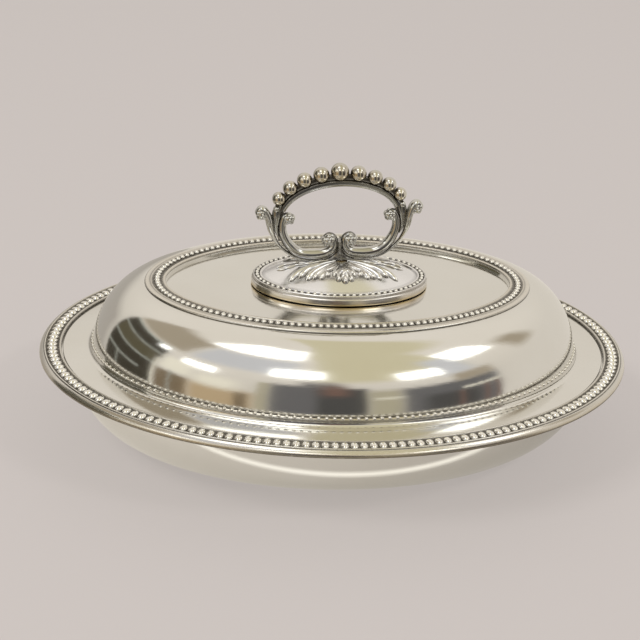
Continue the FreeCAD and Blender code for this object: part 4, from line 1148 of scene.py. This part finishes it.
ROOM = [
    (-190, -127, LOWEST, 16, 6, DIM_WALL),
    (-8, 190, 66, 95, 3, OLIVE),
    (-6, 58, 32, 70, 3, OLIVE),
    (-66, -14, 38, 60, 3, COOL_GREY),
    (42, 58, 28, 52, 3, COOL_GREY),
    (-124, -70, 38, 62, 3, UMBER),
    (88, 104, 28, 46, 4, UMBER),
    (-80, -14, 63, 80, 2, LAMP_WHITE),
    (-25, -3, 36, 47, 1.5, LAMP_WHITE),
    (26, 44, 31, 41, 1.5, LAMP_WHITE),
    (57, 82, 43, 57, 1.5, LAMP_WHITE),
    (-66, -48, 26, 33, 1, LAMP_WHITE),
    (-124, -77, LOWEST, 36, 1, NEAR_BLACK),
    (-122, -80, 12.5, 24, 1, OLIVE_BLACK),
    (-124, -78, 35, 37, 0.5, MULLION),
    (-124, -78, 24, 25.5, 0.5, MULLION),
    (-124, -78, 11, 12.5, 0.5, MULLION),
    (-124, -88, -1, 0.5, 0.5, MULLION),
    (-110, -108.5, -20, 0, 0.5, MULLION),
    (-79, -77, LOWEST, 20, 0.5, CREAM),
    (-86, -78, 32, 36, 1, LAMP_WHITE),
    (-75, -58, 12, 27, 2, CREAM),
    (-76, -57, LOWEST, 10, 1, BROWN),
    (-68, -66.5, LOWEST, 12, 0.5, MULLION),
    (-57, -28, LOWEST, 10, 3, GOLDEN),
    (-55, -36, 9, 22, 4, CREAM),
    (-36, -31, LOWEST, 8, 1, BROWN),
    (-28, -23, LOWEST, 26, 1, SAGE),
    (-23, -4, LOWEST, 26, 1.5, SLATE),
    (-12, 2, 24, 31, 3, SLATE),
    (-6, 12, LOWEST, 24, 1.5, DEEP_SLATE),
    (-4, 5, 14, 28, 3, RUST),
    (12, 24, LOWEST, 20, 2, SAGE),
    (14, 26, 9, 11, 0.5, CREAM),
    (24, 64, LOWEST, 20, 2, SLATE),
    (32, 54, LOWEST, 8, 3, DEEP_SLATE),
    (46, 64, 19, 28, 2, UMBER),
    (45, 47, LOWEST, 8, 0.5, RUST),
    (56, 58, LOWEST, 10, 0.5, RUST),
    (61.5, 63.5, LOWEST, 10, 0.5, RUST),
    (47, 64, 9, 11, 0.5, CREAM),
]
room = mixed(tree, soft_step(elevation, 20, 45), WALL_TONE, UPPER_WALL)
for *edges, tone in ROOM:
    room = mixed(tree, patch(*edges), room, tone)
print("patches in the room:", len(ROOM))

PLAIN_TONE = (0.66, 0.62, 0.59, 1)
BACKGROUND_TONE = (0.64, 0.585, 0.555, 1)
ray = new_node(tree, "LightPath").outputs
seen = mixed(tree, ray["Is Glossy Ray"], PLAIN_TONE, room)
seen = mixed(tree, ray["Is Camera Ray"], seen, BACKGROUND_TONE)
feed(tree, background.inputs["Color"], seen)
background.inputs["Strength"].default_value = 1.0

# %% Lamps
def soft_lamp(name, place, target, size, watts):
    """A rectangular area lamp that faces a target and isn't mirrored."""
    lamp = bpy.data.lights.new(name, "AREA")
    lamp.shape = "RECTANGLE"
    lamp.size, lamp.size_y = size
    lamp.energy = watts
    holder = linked(name, lamp)
    holder.location = place
    aim = Vector(target) - Vector(place)
    holder.rotation_euler = aim.to_track_quat("-Z", "Y").to_euler()
    holder.visible_glossy = False


soft_lamp("window_left", (-1.5, -0.9, 1.9), (0, 0, 0.05), (0.9, 0.5), 20)
soft_lamp("window_right", (1.3, -1.2, 1.8), (0, 0, 0.05), (0.5, 0.25), 10)
print("two soft lamps")
